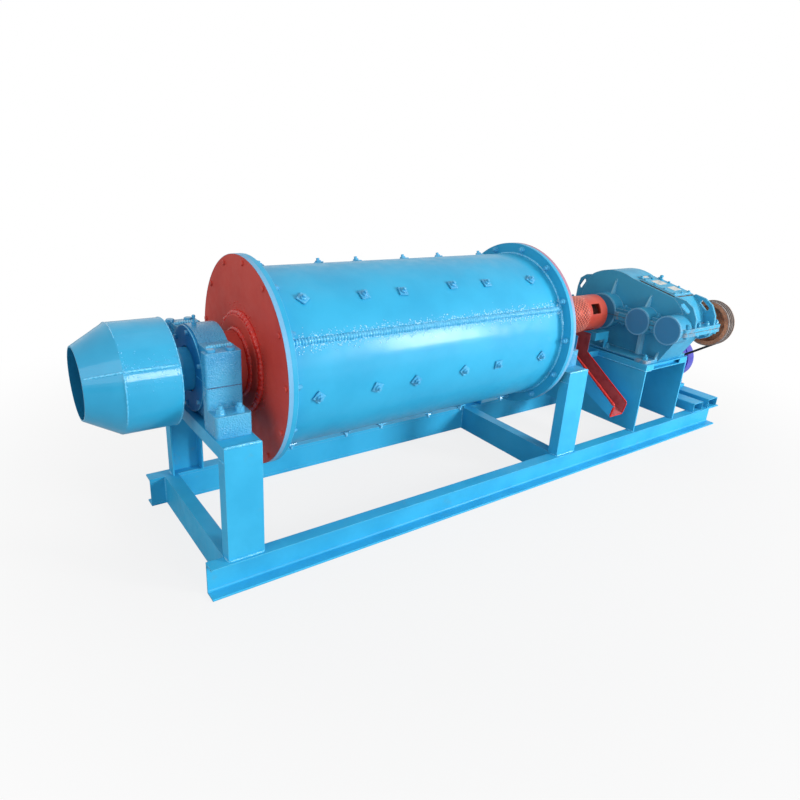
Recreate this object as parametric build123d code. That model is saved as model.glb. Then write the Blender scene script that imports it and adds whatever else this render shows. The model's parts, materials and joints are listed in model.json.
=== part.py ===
"""Ball mill on its skid: drum, feeder, bearings, reducer, pulley, motor and frame.

Millimetres, +Z up, +X along the drum from the feed end to the drive end. The origin is the
middle of the underside of the feed cross member, on the ground.
"""

from build123d import *
import math
import os

os.makedirs("parts", exist_ok=True)

# Stations along the drum's axis, each set from the one before it
STAND_FEED_X = 58.0
FEEDER_BACK_X = STAND_FEED_X - 168.0
FEEDER_LENGTH = 237.0
FEEDER_KNEE_X = FEEDER_BACK_X - FEEDER_LENGTH
CONE_LENGTH = 150.0
FEEDER_MOUTH_X = FEEDER_KNEE_X - CONE_LENGTH
JOURNAL_END_X = FEEDER_BACK_X + 60.0
DRUM_X0 = STAND_FEED_X + 210.0
DRUM_LENGTH = 1935.0
DRUM_X1 = DRUM_X0 + DRUM_LENGTH
STAND_DRIVE_X = DRUM_X1 + 130.0
SLEEVE_X0 = STAND_DRIVE_X + 107.0
SLEEVE_LENGTH = 608.0
SLEEVE_X1 = SLEEVE_X0 + SLEEVE_LENGTH
CHUTE_X0 = SLEEVE_X1 - 220.0
CHUTE_LENGTH = 150.0
CHUTE_X1 = CHUTE_X0 + CHUTE_LENGTH
PED_X0 = SLEEVE_X1 + 38.0
BOX_X0 = PED_X0 + 154.0
BOX_LENGTH = 272.0
BOX_X1 = BOX_X0 + BOX_LENGTH
PED_X1 = BOX_X1 + 94.0
PULLEY_X0 = BOX_X1 + 100.0
PULLEY_WIDTH = 78.0
PULLEY_X1 = PULLEY_X0 + PULLEY_WIDTH
MOTOR_X0 = PULLEY_X1 + 78.0
MOTOR_LENGTH = 494.0
MOTOR_X1 = MOTOR_X0 + MOTOR_LENGTH
COWL_LENGTH = 106.0
COWL_X1 = MOTOR_X1 + COWL_LENGTH
TUBE_X = (MOTOR_X0 + 109.0, MOTOR_X0 + 330.0)

# Ground frame
RAIL_X0 = STAND_FEED_X - 181.0
RAIL_X1 = MOTOR_X1 + 3.0
RAIL_H = 174.0
RAIL_BACK_Y = 451.0
RAIL_DEPTH = 75.0
WEB_T = 8.0
FLANGE_T = 10.0
ROOT_R = 9.0
TOE_R = 4.0
CROSS_DEPTH = 76.0
CROSS_FEED_X = -CROSS_DEPTH / 2
CROSS_DRIVE_X = STAND_DRIVE_X - 85.0

# Stands
AXIS_Z = 968.0
POST_W = 180.0
POST_DEPTH = 75.0
POST_FACE_Y = 505.0
STAND_TOP = 757.0
REAR_FEED_SHIFT = 36.0
BEAM_DEPTH = 70.0

# Split bearing housings
HOUSING_W = 170.0
FOOT_HALF_Y = 410.0
FOOT_TOP = 865.0
BLOCK_HALF_Y = 310.0
SHOULDER_TOP = 1130.0
CROWN_R = 215.0
RELIEF_HALF_Y = 150.0
RELIEF_H = 10.0
BUSH_R = 140.0
RECESS = 32.0
RECESS_HALF_Y = 262.0
COVER_R = 210.0
COVER_T = 12.0
SEAL_R = 175.0
SEAL_T = 8.0

# Running gear
JOURNAL_R = 105.0
RUN_FIT = 0.05
SHAFT_GAP = 0.3
MOVE_GAP = 6.0
BORE_R = 75.0

# Drum
SHELL_R = 464.0
SHELL_T = 14.0
RIM_H = 66.0
RIM_R = SHELL_R + RIM_H
END_PLATE_T = 22.0
RING_T = 25.0
BOSS_R = 240.0
BOSS_T = 22.0
NECK_R = 160.0

# Feeder
FEEDER_MOUTH_R = 168.0
FEEDER_R = 256.0
FEEDER_T = 7.0
FEEDER_RING_R = 126.0
FEEDER_RING_T = 22.0

# Discharge sleeve and chute
SLEEVE_R = 133.0
SLEEVE_T = 12.0
WINDOW_X0 = SLEEVE_X1 - 164.0
WINDOW_X1 = SLEEVE_X1 - 74.0
WINDOW_H = 75.0
WINDOW_ANGLE = 28.0
CHUTE_T = 5.0
CHUTE_TOP = AXIS_Z - SLEEVE_R - MOVE_GAP - 3.0
TIE_Y = -118.0
TIE_W = 58.0
TIE_H = 60.0
TIE_T = 6.0
TIE_Z = CHUTE_TOP - 46.0

# Pedestal
PED_HALF_Y = 510.0
PED_PLATE_T = 12.0
PED_PLATE_TOP = 645.0
PED_TOP = 690.0
PED_CH_DEPTH = 45.0
PED_CH_T = 7.0
PED_SLOT_X = (PED_X0 + 94.0, PED_X1 - 96.0)

# Reducer
BASE_X0 = PED_X0 + 14.0
BASE_X1 = PED_X1 - 4.0
BASE_FLANGE_TOP = PED_TOP + 22.0
RELIEF_UNDER = 12.0
MID_Y = -336.0
IN_Y = -591.0
OUT_CAP_R = 135.0
MID_CAP_R = 98.0
IN_CAP_R = 102.0
OUT_FACE_X = BOX_X0 - 102.0
MID_FACE_X = BOX_X0 - 118.0
IN_FACE_X = BOX_X0 - 139.0
FAR_FACE_X = BOX_X1 + 56.0
CAP_T = 12.0
OUT_SHAFT_R = 60.0
IN_SHAFT_R = 30.0
SPLIT_X0 = BOX_X0 - 110.0
SPLIT_X1 = BOX_X1 + 78.0
SPLIT_Y0 = -712.0
SPLIT_Y1 = 335.0
SPLIT_T = 27.0
PAD_T = 52.0
LUG_T = 16.0
RIB_FOOT = 38.0

# Belt drive and motor
PULLEY_R = 165.0
GROOVES = (PULLEY_X0 + 17.0, PULLEY_X0 + 39.0, PULLEY_X0 + 61.0)
GROOVE_TOP = 18.0
GROOVE_FOOT = 12.0
GROOVE_DEEP = 15.0
BELT_TOP = 16.0
BELT_FOOT = 10.0
MOTOR_Y = 0.0
MOTOR_Z = 450.0
MOTOR_PULLEY_R = 80.0
MOTOR_R = 170.0
COWL_R = 178.0
TUBE_W = 135.0
TUBE_H = 76.0
TUBE_T = 5.0
TUBE_HALF_Y = 520.0
BASE_T = 20.0
TERMINAL_X0 = MOTOR_X0 + 182.0
TERMINAL_LENGTH = 160.0
TERMINAL_HALF_Y = 75.0
TERMINAL_H = 62.0


def block(x0, x1, y0, y1, z0, z1):
    """A box by its limits."""
    centre = Pos((x0 + x1) / 2, (y0 + y1) / 2, (z0 + z1) / 2)
    return centre * Box(x1 - x0, y1 - y0, z1 - z0)


def rod(x0, x1, radius, y=0.0, z=AXIS_Z):
    """A cylinder along X."""
    return Pos((x0 + x1) / 2, y, z) * Rot(0, 90, 0) * Cylinder(radius, x1 - x0)


def ring(x0, x1, outer, inner, y=0.0, z=AXIS_Z):
    """A plain ring along X."""
    return rod(x0, x1, outer, y, z) - rod(x0 - 1, x1 + 1, inner, y, z)


def turned(profile, y=0.0, z=AXIS_Z):
    """A body of revolution about X from (x, radius) corners."""
    outline = Polyline(*[(px, 0, r) for px, r in profile], close=True)
    return Pos(0, y, z) * revolve(make_face(outline), axis=Axis.X, revolution_arc=360)


def slab(corners, x0, x1):
    """A plate with a (y, z) outline, thick along X."""
    outline = Polyline(*[(x0, py, pz) for py, pz in corners], close=True)
    return extrude(make_face(outline), amount=x1 - x0, dir=(1, 0, 0))


def fin(corners, y0, y1):
    """A plate with an (x, z) outline, thick along Y."""
    outline = Polyline(*[(px, y0, pz) for px, pz in corners], close=True)
    return extrude(make_face(outline), amount=y1 - y0, dir=(0, 1, 0))


def channel(width, depth, length, web=WEB_T, flange=FLANGE_T, root=ROOT_R, toe=TOE_R):
    """A rolled channel along local Z: web on y = 0, flanges towards +y."""
    h = width / 2
    inner = h - flange
    section = Polygon(
        (-h, 0), (h, 0), (h, depth), (inner, depth), (inner, web), (-inner, web),
        (-inner, depth), (-h, depth), align=None,
    )
    roots = [v for v in section.vertices() if abs(v.Y - web) < 0.01]
    section = fillet(roots, root)
    toes = [v for v in section.vertices() if abs(v.Y - depth) < 0.01 and abs(v.X) < h - 0.01]
    section = fillet(toes, toe)
    return extrude(section, amount=length)


def placed(shape, origin, x_dir, z_dir):
    """The shape moved to a plane's own axes."""
    return Plane(origin=origin, x_dir=x_dir, z_dir=z_dir) * shape


def save(shape, node):
    """Writes one sub-part."""
    export_step(shape, f"parts/{node}.step")


def rails():
    """Two rolled channels, each as its web and its two flanges."""
    length = RAIL_X1 - RAIL_X0
    web_half = RAIL_H / 2 - FLANGE_T - ROOT_R
    for name, side in (("front", -1), ("rear", 1)):
        bar = channel(RAIL_H, RAIL_DEPTH, length)
        middle = Pos(0, WEB_T / 2, length / 2) * Box(2 * web_half, WEB_T, length)
        start = (RAIL_X0, side * RAIL_BACK_Y, RAIL_H / 2)
        save(placed(middle, start, (0, 0, -side), (1, 0, 0)), f"rail_{name}_web")
        save(placed(bar - middle, start, (0, 0, -side), (1, 0, 0)), f"rail_{name}_flanges")


def cross_members():
    for node, x in (("cross_member_feed", CROSS_FEED_X), ("cross_member_drive", CROSS_DRIVE_X)):
        bar = channel(RAIL_H, CROSS_DEPTH, 2 * RAIL_BACK_Y)
        save(placed(bar, (x, -RAIL_BACK_Y, RAIL_H / 2), (0, 0, 1), (0, 1, 0)), node)


def stand(end, x):
    """Two coped posts and the channel laid flat between them."""
    beam_half = POST_FACE_Y - WEB_T
    for side_name, side in (("front", -1), ("rear", 1)):
        shift = REAR_FEED_SHIFT if (end, side) == ("feed", 1) else 0.0
        post = channel(POST_W, POST_DEPTH, STAND_TOP - RAIL_H)
        post = Pos(x + shift, side * POST_FACE_Y, RAIL_H) * Rot(0, 0, 0 if side < 0 else 180) * post
        inner = side * (POST_FACE_Y - POST_DEPTH - 5)
        y0, y1 = sorted((side * beam_half, inner))
        post -= block(x - POST_W, x + POST_W, y0, y1, STAND_TOP - BEAM_DEPTH, STAND_TOP + 5)
        save(post, f"post_{end}_{side_name}")
    beam = channel(POST_W, BEAM_DEPTH, 2 * beam_half)
    save(placed(beam, (x, -beam_half, STAND_TOP), (1, 0, 0), (0, 1, 0)), f"bearing_beam_{end}")


def bearing(end, x, out):
    """A split housing on a foot, its bush and covers; out is the side away from the drum.

    The outer side is recessed between two end walls, and the large cover stands in the recess.
    """
    x0 = x - HOUSING_W / 2
    x1 = x + HOUSING_W / 2
    far = x + out * (HOUSING_W / 2 - RECESS)
    near = x - out * HOUSING_W / 2
    r0, r1 = sorted((far, far + out * (RECESS + 5)))
    recess = block(r0, r1, -RECESS_HALF_Y, RECESS_HALF_Y, STAND_TOP - 5, AXIS_Z + CROWN_R + 5)
    foot = block(x0, x1, -FOOT_HALF_Y, FOOT_HALF_Y, STAND_TOP, FOOT_TOP)
    foot = fillet(foot.edges().filter_by(Axis.Z), 14)
    lower = block(x0, x1, -BLOCK_HALF_Y, BLOCK_HALF_Y, FOOT_TOP - 5, AXIS_Z)
    lower = fillet(lower.edges().filter_by(Axis.Z), 10)
    relief = block(x0 - 5, x1 + 5, -RELIEF_HALF_Y, RELIEF_HALF_Y, STAND_TOP - 5, STAND_TOP + RELIEF_H)
    bore = rod(x0 - 5, x1 + 5, BUSH_R)
    save(foot + lower - relief - bore - recess, f"bearing_base_{end}")
    upper = block(x0, x1, -BLOCK_HALF_Y, BLOCK_HALF_Y, AXIS_Z, SHOULDER_TOP)
    upper = fillet(upper.edges().filter_by(Axis.Z), 10)
    crown = rod(x0, x1, CROWN_R) & block(x0, x1, -CROWN_R, CROWN_R, AXIS_Z, AXIS_Z + CROWN_R)
    save(upper + crown - bore - recess, f"bearing_cap_{end}")
    b0, b1 = sorted((far, near))
    save(ring(b0, b1, BUSH_R, JOURNAL_R + RUN_FIT), f"bearing_bush_{end}")
    hole = JOURNAL_R + MOVE_GAP
    c0, c1 = sorted((far, far + out * COVER_T))
    s0, s1 = sorted((near, near - out * SEAL_T))
    pair = ring(c0, c1, COVER_R, hole) + ring(s0, s1, SEAL_R, hole)
    save(pair, f"bearing_covers_{end}")


def drum():
    s0 = DRUM_X0 + END_PLATE_T
    s1 = DRUM_X1 - END_PLATE_T
    save(ring(s0, s1, SHELL_R, SHELL_R - SHELL_T), "drum_shell")
    save(ring(s0, s0 + RING_T, RIM_R, SHELL_R), "flange_ring_feed")
    save(ring(s1 - RING_T, s1, RIM_R, SHELL_R), "flange_ring_drive")
    save(ring(DRUM_X0, s0, RIM_R, BORE_R), "end_cover_feed")
    save(ring(s1, DRUM_X1, RIM_R, BORE_R), "end_cover_drive")


def trunnions():
    seal_feed = STAND_FEED_X + HOUSING_W / 2 + SEAL_T + MOVE_GAP + 1
    seal_drive = STAND_DRIVE_X - HOUSING_W / 2 - SEAL_T - MOVE_GAP - 1
    boss_feed = DRUM_X0 - BOSS_T
    boss_drive = DRUM_X1 + BOSS_T
    save(turned([
        (JOURNAL_END_X, BORE_R), (JOURNAL_END_X, JOURNAL_R), (seal_feed, JOURNAL_R),
        (seal_feed, NECK_R - 8), (seal_feed + 8, NECK_R), (boss_feed, NECK_R),
        (boss_feed, BOSS_R - 6), (boss_feed + 6, BOSS_R), (DRUM_X0, BOSS_R), (DRUM_X0, BORE_R),
    ]), "trunnion_feed")
    save(turned([
        (DRUM_X1, BORE_R), (DRUM_X1, BOSS_R), (boss_drive - 6, BOSS_R), (boss_drive, BOSS_R - 6),
        (boss_drive, NECK_R), (seal_drive, NECK_R), (seal_drive, JOURNAL_R),
        (SLEEVE_X0, JOURNAL_R), (SLEEVE_X0, BORE_R),
    ]), "trunnion_drive")


def feeder():
    """Open scoop drum: cone, cylinder, end plate and neck in one turning."""
    t = FEEDER_T
    ring_x = FEEDER_BACK_X + FEEDER_RING_T
    save(turned([
        (FEEDER_MOUTH_X, FEEDER_MOUTH_R - t), (FEEDER_MOUTH_X, FEEDER_MOUTH_R),
        (FEEDER_KNEE_X, FEEDER_R), (FEEDER_BACK_X, FEEDER_R), (FEEDER_BACK_X, FEEDER_RING_R),
        (ring_x, FEEDER_RING_R), (ring_x, JOURNAL_R), (JOURNAL_END_X, JOURNAL_R),
        (JOURNAL_END_X, BORE_R), (FEEDER_BACK_X - t, BORE_R),
        (FEEDER_BACK_X - t, FEEDER_R - t), (FEEDER_KNEE_X + 2, FEEDER_R - t),
    ]), "feeder_drum")


def sleeve():
    """The discharge sleeve with four windows, and the reducer's output shaft."""
    body = turned([
        (SLEEVE_X0, BORE_R), (SLEEVE_X0, SLEEVE_R), (SLEEVE_X1, SLEEVE_R),
        (SLEEVE_X1, OUT_SHAFT_R), (SLEEVE_X1 - 15, OUT_SHAFT_R),
        (SLEEVE_X1 - 15, SLEEVE_R - SLEEVE_T), (SLEEVE_X0 + 12, SLEEVE_R - SLEEVE_T),
        (SLEEVE_X0 + 12, BORE_R),
    ])
    for quarter in range(4):
        cutter = block(WINDOW_X0, WINDOW_X1, -SLEEVE_R - 20, -SLEEVE_R + 45, -WINDOW_H / 2, WINDOW_H / 2)
        angle = -WINDOW_ANGLE + 90 * quarter
        body -= Pos(0, 0, AXIS_Z) * Rot(angle, 0, 0) * cutter
    save(body, "discharge_sleeve")
    save(rod(SLEEVE_X1 - 15, BOX_X0 + 190, OUT_SHAFT_R), "output_shaft")


def chute():
    """Sloping trough under the sleeve's windows, and the bars that tie it to the reducer's base."""
    lip = (-459.0, 325.0)
    rim = (-480.0, 416.0)
    knee = (-71.0, 681.0)
    slope = (475.0 - 325.0) / (459.0 - 148.0)
    back_y = 112.0
    back_z = lip[1] + slope * (back_y - lip[0])
    wall = slab([
        lip, rim, knee, (-74.0, CHUTE_TOP), (back_y, CHUTE_TOP), (back_y, back_z),
    ], CHUTE_X0, CHUTE_X1)
    lift = CHUTE_T * math.hypot(1, slope)
    run = 60.0
    hollow = slab([
        (lip[0] - run, lip[1] - run * slope + lift), (lip[0] - run, CHUTE_TOP + 5),
        (back_y - CHUTE_T, CHUTE_TOP + 5), (back_y - CHUTE_T, back_z - CHUTE_T * slope + lift),
    ], CHUTE_X0 + CHUTE_T, CHUTE_X1 - CHUTE_T)
    save(wall - hollow, "discharge_chute")
    bar = block(CHUTE_X1, SPLIT_X0, TIE_Y, TIE_Y + TIE_W, TIE_Z, TIE_Z + TIE_H)
    bar -= block(CHUTE_X1 + TIE_T, SPLIT_X0 + 1, TIE_Y + TIE_T, TIE_Y + TIE_W + 1,
                 TIE_Z - 1, TIE_Z + TIE_H - TIE_T)
    bar += block(BASE_X0, BASE_X0 + 42, TIE_Y + 5, TIE_Y + 12, BASE_FLANGE_TOP, TIE_Z + 20)
    flat = block(CHUTE_X1, PED_X0, -88, -80, PED_TOP - 50, PED_TOP - 5)
    save(bar + flat, "chute_bracket")


def pedestal():
    for node, x in (("pedestal_plate_left", PED_X0), ("pedestal_plate_right", PED_X1 - PED_PLATE_T)):
        save(block(x, x + PED_PLATE_T, -PED_HALF_Y, PED_HALF_Y, RAIL_H, PED_PLATE_TOP), node)
    h = PED_TOP - PED_PLATE_TOP
    mid = (PED_TOP + PED_PLATE_TOP) / 2
    frame = None
    for x, x_dir in ((PED_X0, (0, 0, 1)), (PED_X1, (0, 0, -1))):
        bar = channel(h, PED_CH_DEPTH, 2 * PED_HALF_Y, PED_CH_T, PED_CH_T, 5, 2)
        bar = placed(bar, (x, -PED_HALF_Y, mid), x_dir, (0, 1, 0))
        frame = bar if frame is None else frame + bar
    inside = PED_X1 - PED_X0 - 2 * PED_CH_DEPTH
    for y, x_dir in ((-PED_HALF_Y + PED_CH_DEPTH, (0, 0, 1)), (PED_HALF_Y - PED_CH_DEPTH, (0, 0, -1))):
        bar = channel(h, PED_CH_DEPTH, inside, PED_CH_T, PED_CH_T, 5, 2)
        frame += placed(bar, (PED_X0 + PED_CH_DEPTH, y, mid), x_dir, (1, 0, 0))
    for x0, x1 in ((PED_X0, PED_SLOT_X[0]), (PED_SLOT_X[1], PED_X1)):
        for y0 in (-PED_HALF_Y, PED_HALF_Y - PED_CH_T):
            frame += block(x0, x1, y0, y0 + PED_CH_T, PED_PLATE_TOP, PED_TOP)
    save(frame, "pedestal_frame")


def housing_outline():
    """The reducer's upper side outline: steep front, sloping lid, round rear."""
    front = (-508, AXIS_Z + 200)
    crown = (-150, AXIS_Z + 274)
    rear = (194, AXIS_Z + 246)
    return [
        ThreePointArc((-632, AXIS_Z), (-588, AXIS_Z + 126), front),
        Line(front, crown),
        ThreePointArc(crown, (15, AXIS_Z + 302), rear),
        ThreePointArc(rear, (252, AXIS_Z + 147), (275, AXIS_Z)),
        Line((275, AXIS_Z), (-632, AXIS_Z)),
    ]


def shaft_list():
    return (
        (0.0, OUT_CAP_R, OUT_FACE_X), (MID_Y, MID_CAP_R, MID_FACE_X), (IN_Y, IN_CAP_R, IN_FACE_X),
    )


def housing():
    """The casting before it is cut at the shaft height: box, split flange, bosses, pads, ribs."""
    width = BOX_X1 - BOX_X0
    whole = extrude(Plane.YZ.offset(BOX_X0) * make_face(housing_outline()), amount=width)
    whole += slab([
        (-632, AXIS_Z), (-628, AXIS_Z - 38), (-490, PED_TOP), (256, PED_TOP), (272, AXIS_Z - 68),
        (275, AXIS_Z),
    ], BOX_X0, BOX_X1)
    base = block(BASE_X0, BASE_X1, -490, 290, PED_TOP, BASE_FLANGE_TOP)
    whole += fillet(base.edges().filter_by(Axis.Z), 12)
    edge = block(SPLIT_X0, SPLIT_X1, SPLIT_Y0, SPLIT_Y1, AXIS_Z - SPLIT_T, AXIS_Z + SPLIT_T)
    whole += fillet(edge.edges().filter_by(Axis.Z), 25)
    for y, radius, face in shaft_list():
        whole += rod(face + CAP_T, BOX_X0 + 5, radius, y)
        whole += rod(BOX_X1 - 5, FAR_FACE_X - CAP_T, radius, y)
    for y0, y1 in ((-492, -434), (-238, -134), (134, 215)):
        whole += block(OUT_FACE_X + CAP_T, BOX_X0 + 5, y0, y1, AXIS_Z - PAD_T, AXIS_Z + PAD_T)
        whole += block(BOX_X1 - 5, FAR_FACE_X - CAP_T - 2, y0, y1, AXIS_Z - PAD_T, AXIS_Z + PAD_T)
    for side, face, longest in ((-1, BOX_X0, 50), (1, BOX_X1, 42)):
        def at(reach):
            return face + side * reach
        for y, foot, top, reach in ((-25.0, 125.0, 263.0, 40), (MID_Y, 90.0, 197.0, longest)):
            whole += fin([
                (at(-5), AXIS_Z + foot), (at(reach), AXIS_Z + foot), (at(reach - 4), AXIS_Z + foot + 16),
                (at(-5), AXIS_Z + top),
            ], y - 6, y + 6)
        whole += fin([
            (at(-5), AXIS_Z - 88), (at(RIB_FOOT + 4), AXIS_Z - 88), (at(RIB_FOOT), PED_TOP + 10),
            (at(-5), PED_TOP + 10),
        ], MID_Y - 14, MID_Y + 14)
        for y, top, foot in ((0, 100, RIB_FOOT), (-480, 82, RIB_FOOT - 2)):
            whole += fin([(at(-5), PED_TOP + top), (at(foot), PED_TOP + 15), (at(-5), PED_TOP + 15)],
                         y - 6, y + 6)
    for y, radius, face in shaft_list():
        if face + CAP_T > SPLIT_X0:
            whole -= rod(SPLIT_X0 - 20, face + CAP_T, radius + 2, y)
        whole -= rod(FAR_FACE_X - CAP_T, SPLIT_X1 + 5, radius + 2, y)
    whole -= block(BASE_X0 - 5, BASE_X1 + 5, -390, 190, PED_TOP - 5, PED_TOP + RELIEF_UNDER)
    whole -= rod(OUT_FACE_X - 50, BOX_X0 + 190 + 2, OUT_SHAFT_R + SHAFT_GAP)
    whole -= rod(BOX_X1 - 110, FAR_FACE_X + 50, IN_SHAFT_R + SHAFT_GAP, IN_Y)
    return whole


def lifting_lugs(whole):
    """Four drilled plates that stand on the split flange against the front and the rear."""
    front = [(-480, 170), (-520, 210), (-600, 197), (-660, 162), (-700, 92), (-708, SPLIT_T),
             (-480, SPLIT_T)]
    rear = [(180, SPLIT_T), (331, SPLIT_T), (328, 120), (312, 190), (262, 226), (190, 240)]
    lugs = None
    for corners, hole_y, hole_z, turn in ((front, -607, 146, 127), (rear, 286, 150, 30)):
        for x in (BOX_X0 + 6, BOX_X1 - 6 - LUG_T):
            plate = slab([(y, AXIS_Z + z) for y, z in corners], x, x + LUG_T)
            hole = Pos(x, hole_y, AXIS_Z + hole_z) * Rot(0, 90, 0) * Rot(0, 0, turn)
            plate -= hole * extrude(SlotOverall(84, 30), amount=40, both=True)
            lugs = plate if lugs is None else lugs + plate
    return lugs - whole - rod(BOX_X0, BOX_X1, IN_SHAFT_R + 1, IN_Y)


def reducer():
    """Cast housing split at the shaft height, with lugs, caps and lid."""
    whole = housing()
    big = 2000.0
    save(whole - block(BOX_X0 - big, BOX_X1 + big, -big, big, AXIS_Z, AXIS_Z + big), "gearbox_lower")
    save(whole - block(BOX_X0 - big, BOX_X1 + big, -big, big, AXIS_Z - big, AXIS_Z), "gearbox_upper")
    save(lifting_lugs(whole), "gearbox_lugs")
    caps = None
    for y, radius, face in shaft_list():
        near = rod(face, face + CAP_T, radius, y)
        far = rod(FAR_FACE_X - CAP_T, FAR_FACE_X, radius, y)
        if y == 0.0:
            near -= rod(face - 1, face + CAP_T + 1, OUT_SHAFT_R + SHAFT_GAP, y)
        if y == IN_Y:
            far -= rod(FAR_FACE_X - CAP_T - 1, FAR_FACE_X + 1, IN_SHAFT_R + SHAFT_GAP, y)
        caps = near + far if caps is None else caps + near + far
    save(caps, "gearbox_caps")
    rise = 74.0 / 358.0
    run = math.hypot(1, rise)

    def on_slope(y, up):
        return (y - up * rise / run, AXIS_Z + 200 + (y + 508) * rise + up / run)

    lid = slab([on_slope(-503, 0), on_slope(-203, 0), on_slope(-203, 9), on_slope(-503, 9)],
               BOX_X0 + 20, BOX_X1 - 22)
    lid += slab([on_slope(-491, 8), on_slope(-215, 8), on_slope(-215, 15), on_slope(-491, 15)],
                BOX_X0 + 32, BOX_X1 - 34)
    lid += slab([on_slope(-192, 0), on_slope(-156, 0), on_slope(-156, 9), on_slope(-192, 9)],
                BOX_X0 + 70, BOX_X1 - 80)
    save(lid, "inspection_cover")


def grooved(radius, hub_r, web, shaft_r, y, z):
    """A pulley with three V grooves, a recessed web and a hub."""
    rim = radius - 34
    corners = [(PULLEY_X0, shaft_r), (PULLEY_X0, hub_r)]
    mid = (PULLEY_X0 + PULLEY_X1) / 2
    if web:
        corners += [(mid - 10, hub_r + 4), (mid - 10, rim - 4), (PULLEY_X0, rim)]
    corners += [(PULLEY_X0, radius)]
    for x in GROOVES:
        corners += [
            (x - GROOVE_TOP / 2, radius), (x - GROOVE_FOOT / 2, radius - GROOVE_DEEP),
            (x + GROOVE_FOOT / 2, radius - GROOVE_DEEP), (x + GROOVE_TOP / 2, radius),
        ]
    corners += [(PULLEY_X1, radius)]
    if web:
        corners += [(PULLEY_X1, rim), (mid + 10, rim - 4), (mid + 10, hub_r + 4)]
    corners += [(PULLEY_X1, hub_r), (PULLEY_X1, shaft_r)]
    return turned(corners, y, z)


def belt_path(x, inset):
    """The open-belt loop round both pulleys at a depth below their rims."""
    big = PULLEY_R - inset
    small = MOTOR_PULLEY_R - inset
    dy = MOTOR_Y - IN_Y
    dz = MOTOR_Z - AXIS_Z
    along = math.atan2(dz, dy)
    lean = math.acos((big - small) / math.hypot(dy, dz))

    def at(cy, cz, r, a):
        return (x, cy + r * math.cos(a), cz + r * math.sin(a))

    a1 = along + lean
    a2 = along - lean
    return [
        Line(at(IN_Y, AXIS_Z, big, a1), at(MOTOR_Y, MOTOR_Z, small, a1)),
        ThreePointArc(at(MOTOR_Y, MOTOR_Z, small, a1), at(MOTOR_Y, MOTOR_Z, small, along),
                      at(MOTOR_Y, MOTOR_Z, small, a2)),
        Line(at(MOTOR_Y, MOTOR_Z, small, a2), at(IN_Y, AXIS_Z, big, a2)),
        ThreePointArc(at(IN_Y, AXIS_Z, big, a2), at(IN_Y, AXIS_Z, big, along + math.pi),
                      at(IN_Y, AXIS_Z, big, a1)),
    ]


def belts():
    """Three V belts: each a stack of two slices, wide outside and narrow inside."""
    loops = None
    deep = GROOVE_DEEP - 1.5
    half = (deep - 1.0) / 2
    for x in GROOVES:
        for top, foot, width in ((1.0, 1.0 + half, BELT_TOP - 1.5), (1.0 + half, deep, BELT_FOOT)):
            outer = make_face(belt_path(x - width / 2, top))
            inner = make_face(belt_path(x - width / 2, foot))
            loop = extrude(outer, amount=width, dir=(1, 0, 0)) - extrude(inner, amount=width, dir=(1, 0, 0))
            loops = loop if loops is None else loops + loop
    save(loops, "v_belts")


def belt_drive():
    save(grooved(PULLEY_R, 48, True, IN_SHAFT_R, IN_Y, AXIS_Z), "drive_pulley")
    save(rod(BOX_X1 - 108, PULLEY_X1 + 10, IN_SHAFT_R, IN_Y), "input_shaft")
    pulley = grooved(MOTOR_PULLEY_R, 48, False, 26, MOTOR_Y, MOTOR_Z)
    save(pulley, "motor_pulley")
    belts()


def motor():
    tubes = None
    for x in TUBE_X:
        tube = block(x, x + TUBE_W, -TUBE_HALF_Y, TUBE_HALF_Y, RAIL_H, RAIL_H + TUBE_H)
        tube = fillet(tube.edges().filter_by(Axis.Y), 8)
        tube -= block(x + TUBE_T, x + TUBE_W - TUBE_T, -TUBE_HALF_Y - 5, TUBE_HALF_Y + 5,
                      RAIL_H + TUBE_T, RAIL_H + TUBE_H - TUBE_T)
        tubes = tube if tubes is None else tubes + tube
    save(tubes, "motor_rails")
    top = RAIL_H + TUBE_H
    foot_x0 = TUBE_X[0] + 8
    foot_x1 = TUBE_X[1] + TUBE_W - 8
    save(block(foot_x0 - 8, foot_x1 + 8, -210, 210, top, top + BASE_T), "motor_base")
    body = rod(MOTOR_X0, MOTOR_X1, MOTOR_R, MOTOR_Y, MOTOR_Z)
    body += rod(MOTOR_X0 - 14, MOTOR_X0 + 24, MOTOR_R + 12, MOTOR_Y, MOTOR_Z)
    body += rod(MOTOR_X0 - 34, MOTOR_X0, 70, MOTOR_Y, MOTOR_Z)
    body += block(foot_x0, foot_x1, -185, 185, top + BASE_T, top + BASE_T + 24)
    for y0, y1 in ((-150, -110), (110, 150)):
        body += block(foot_x0, foot_x1, y0, y1, top + BASE_T, MOTOR_Z - 60)
    body += block(TERMINAL_X0, TERMINAL_X0 + TERMINAL_LENGTH, -TERMINAL_HALF_Y, TERMINAL_HALF_Y,
                  MOTOR_Z + MOTOR_R - 25, MOTOR_Z + MOTOR_R + TERMINAL_H)
    body += rod(PULLEY_X0, MOTOR_X0, 26, MOTOR_Y, MOTOR_Z)
    save(body, "motor_body")
    cowl = rod(MOTOR_X1, COWL_X1, COWL_R, MOTOR_Y, MOTOR_Z)
    cowl = fillet(cowl.edges().group_by(Axis.X)[-1], 24)
    save(cowl, "motor_fan_cowl")


rails()
cross_members()
stand("feed", STAND_FEED_X)
stand("drive", STAND_DRIVE_X)
bearing("feed", STAND_FEED_X, -1)
bearing("drive", STAND_DRIVE_X, 1)
drum()
trunnions()
feeder()
sleeve()
chute()
pedestal()
reducer()
belt_drive()
motor()
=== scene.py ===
"""Looks for the ball mill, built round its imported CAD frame.

Metres, +Z up, +X along the drum from the feed end to the drive end. New pieces are surfaces
worked out with numpy: either a stack of rings turned about an axis, or a section carried along a
path. Angles round the drum count from the front (-Y) upwards.
"""

import json

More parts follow.
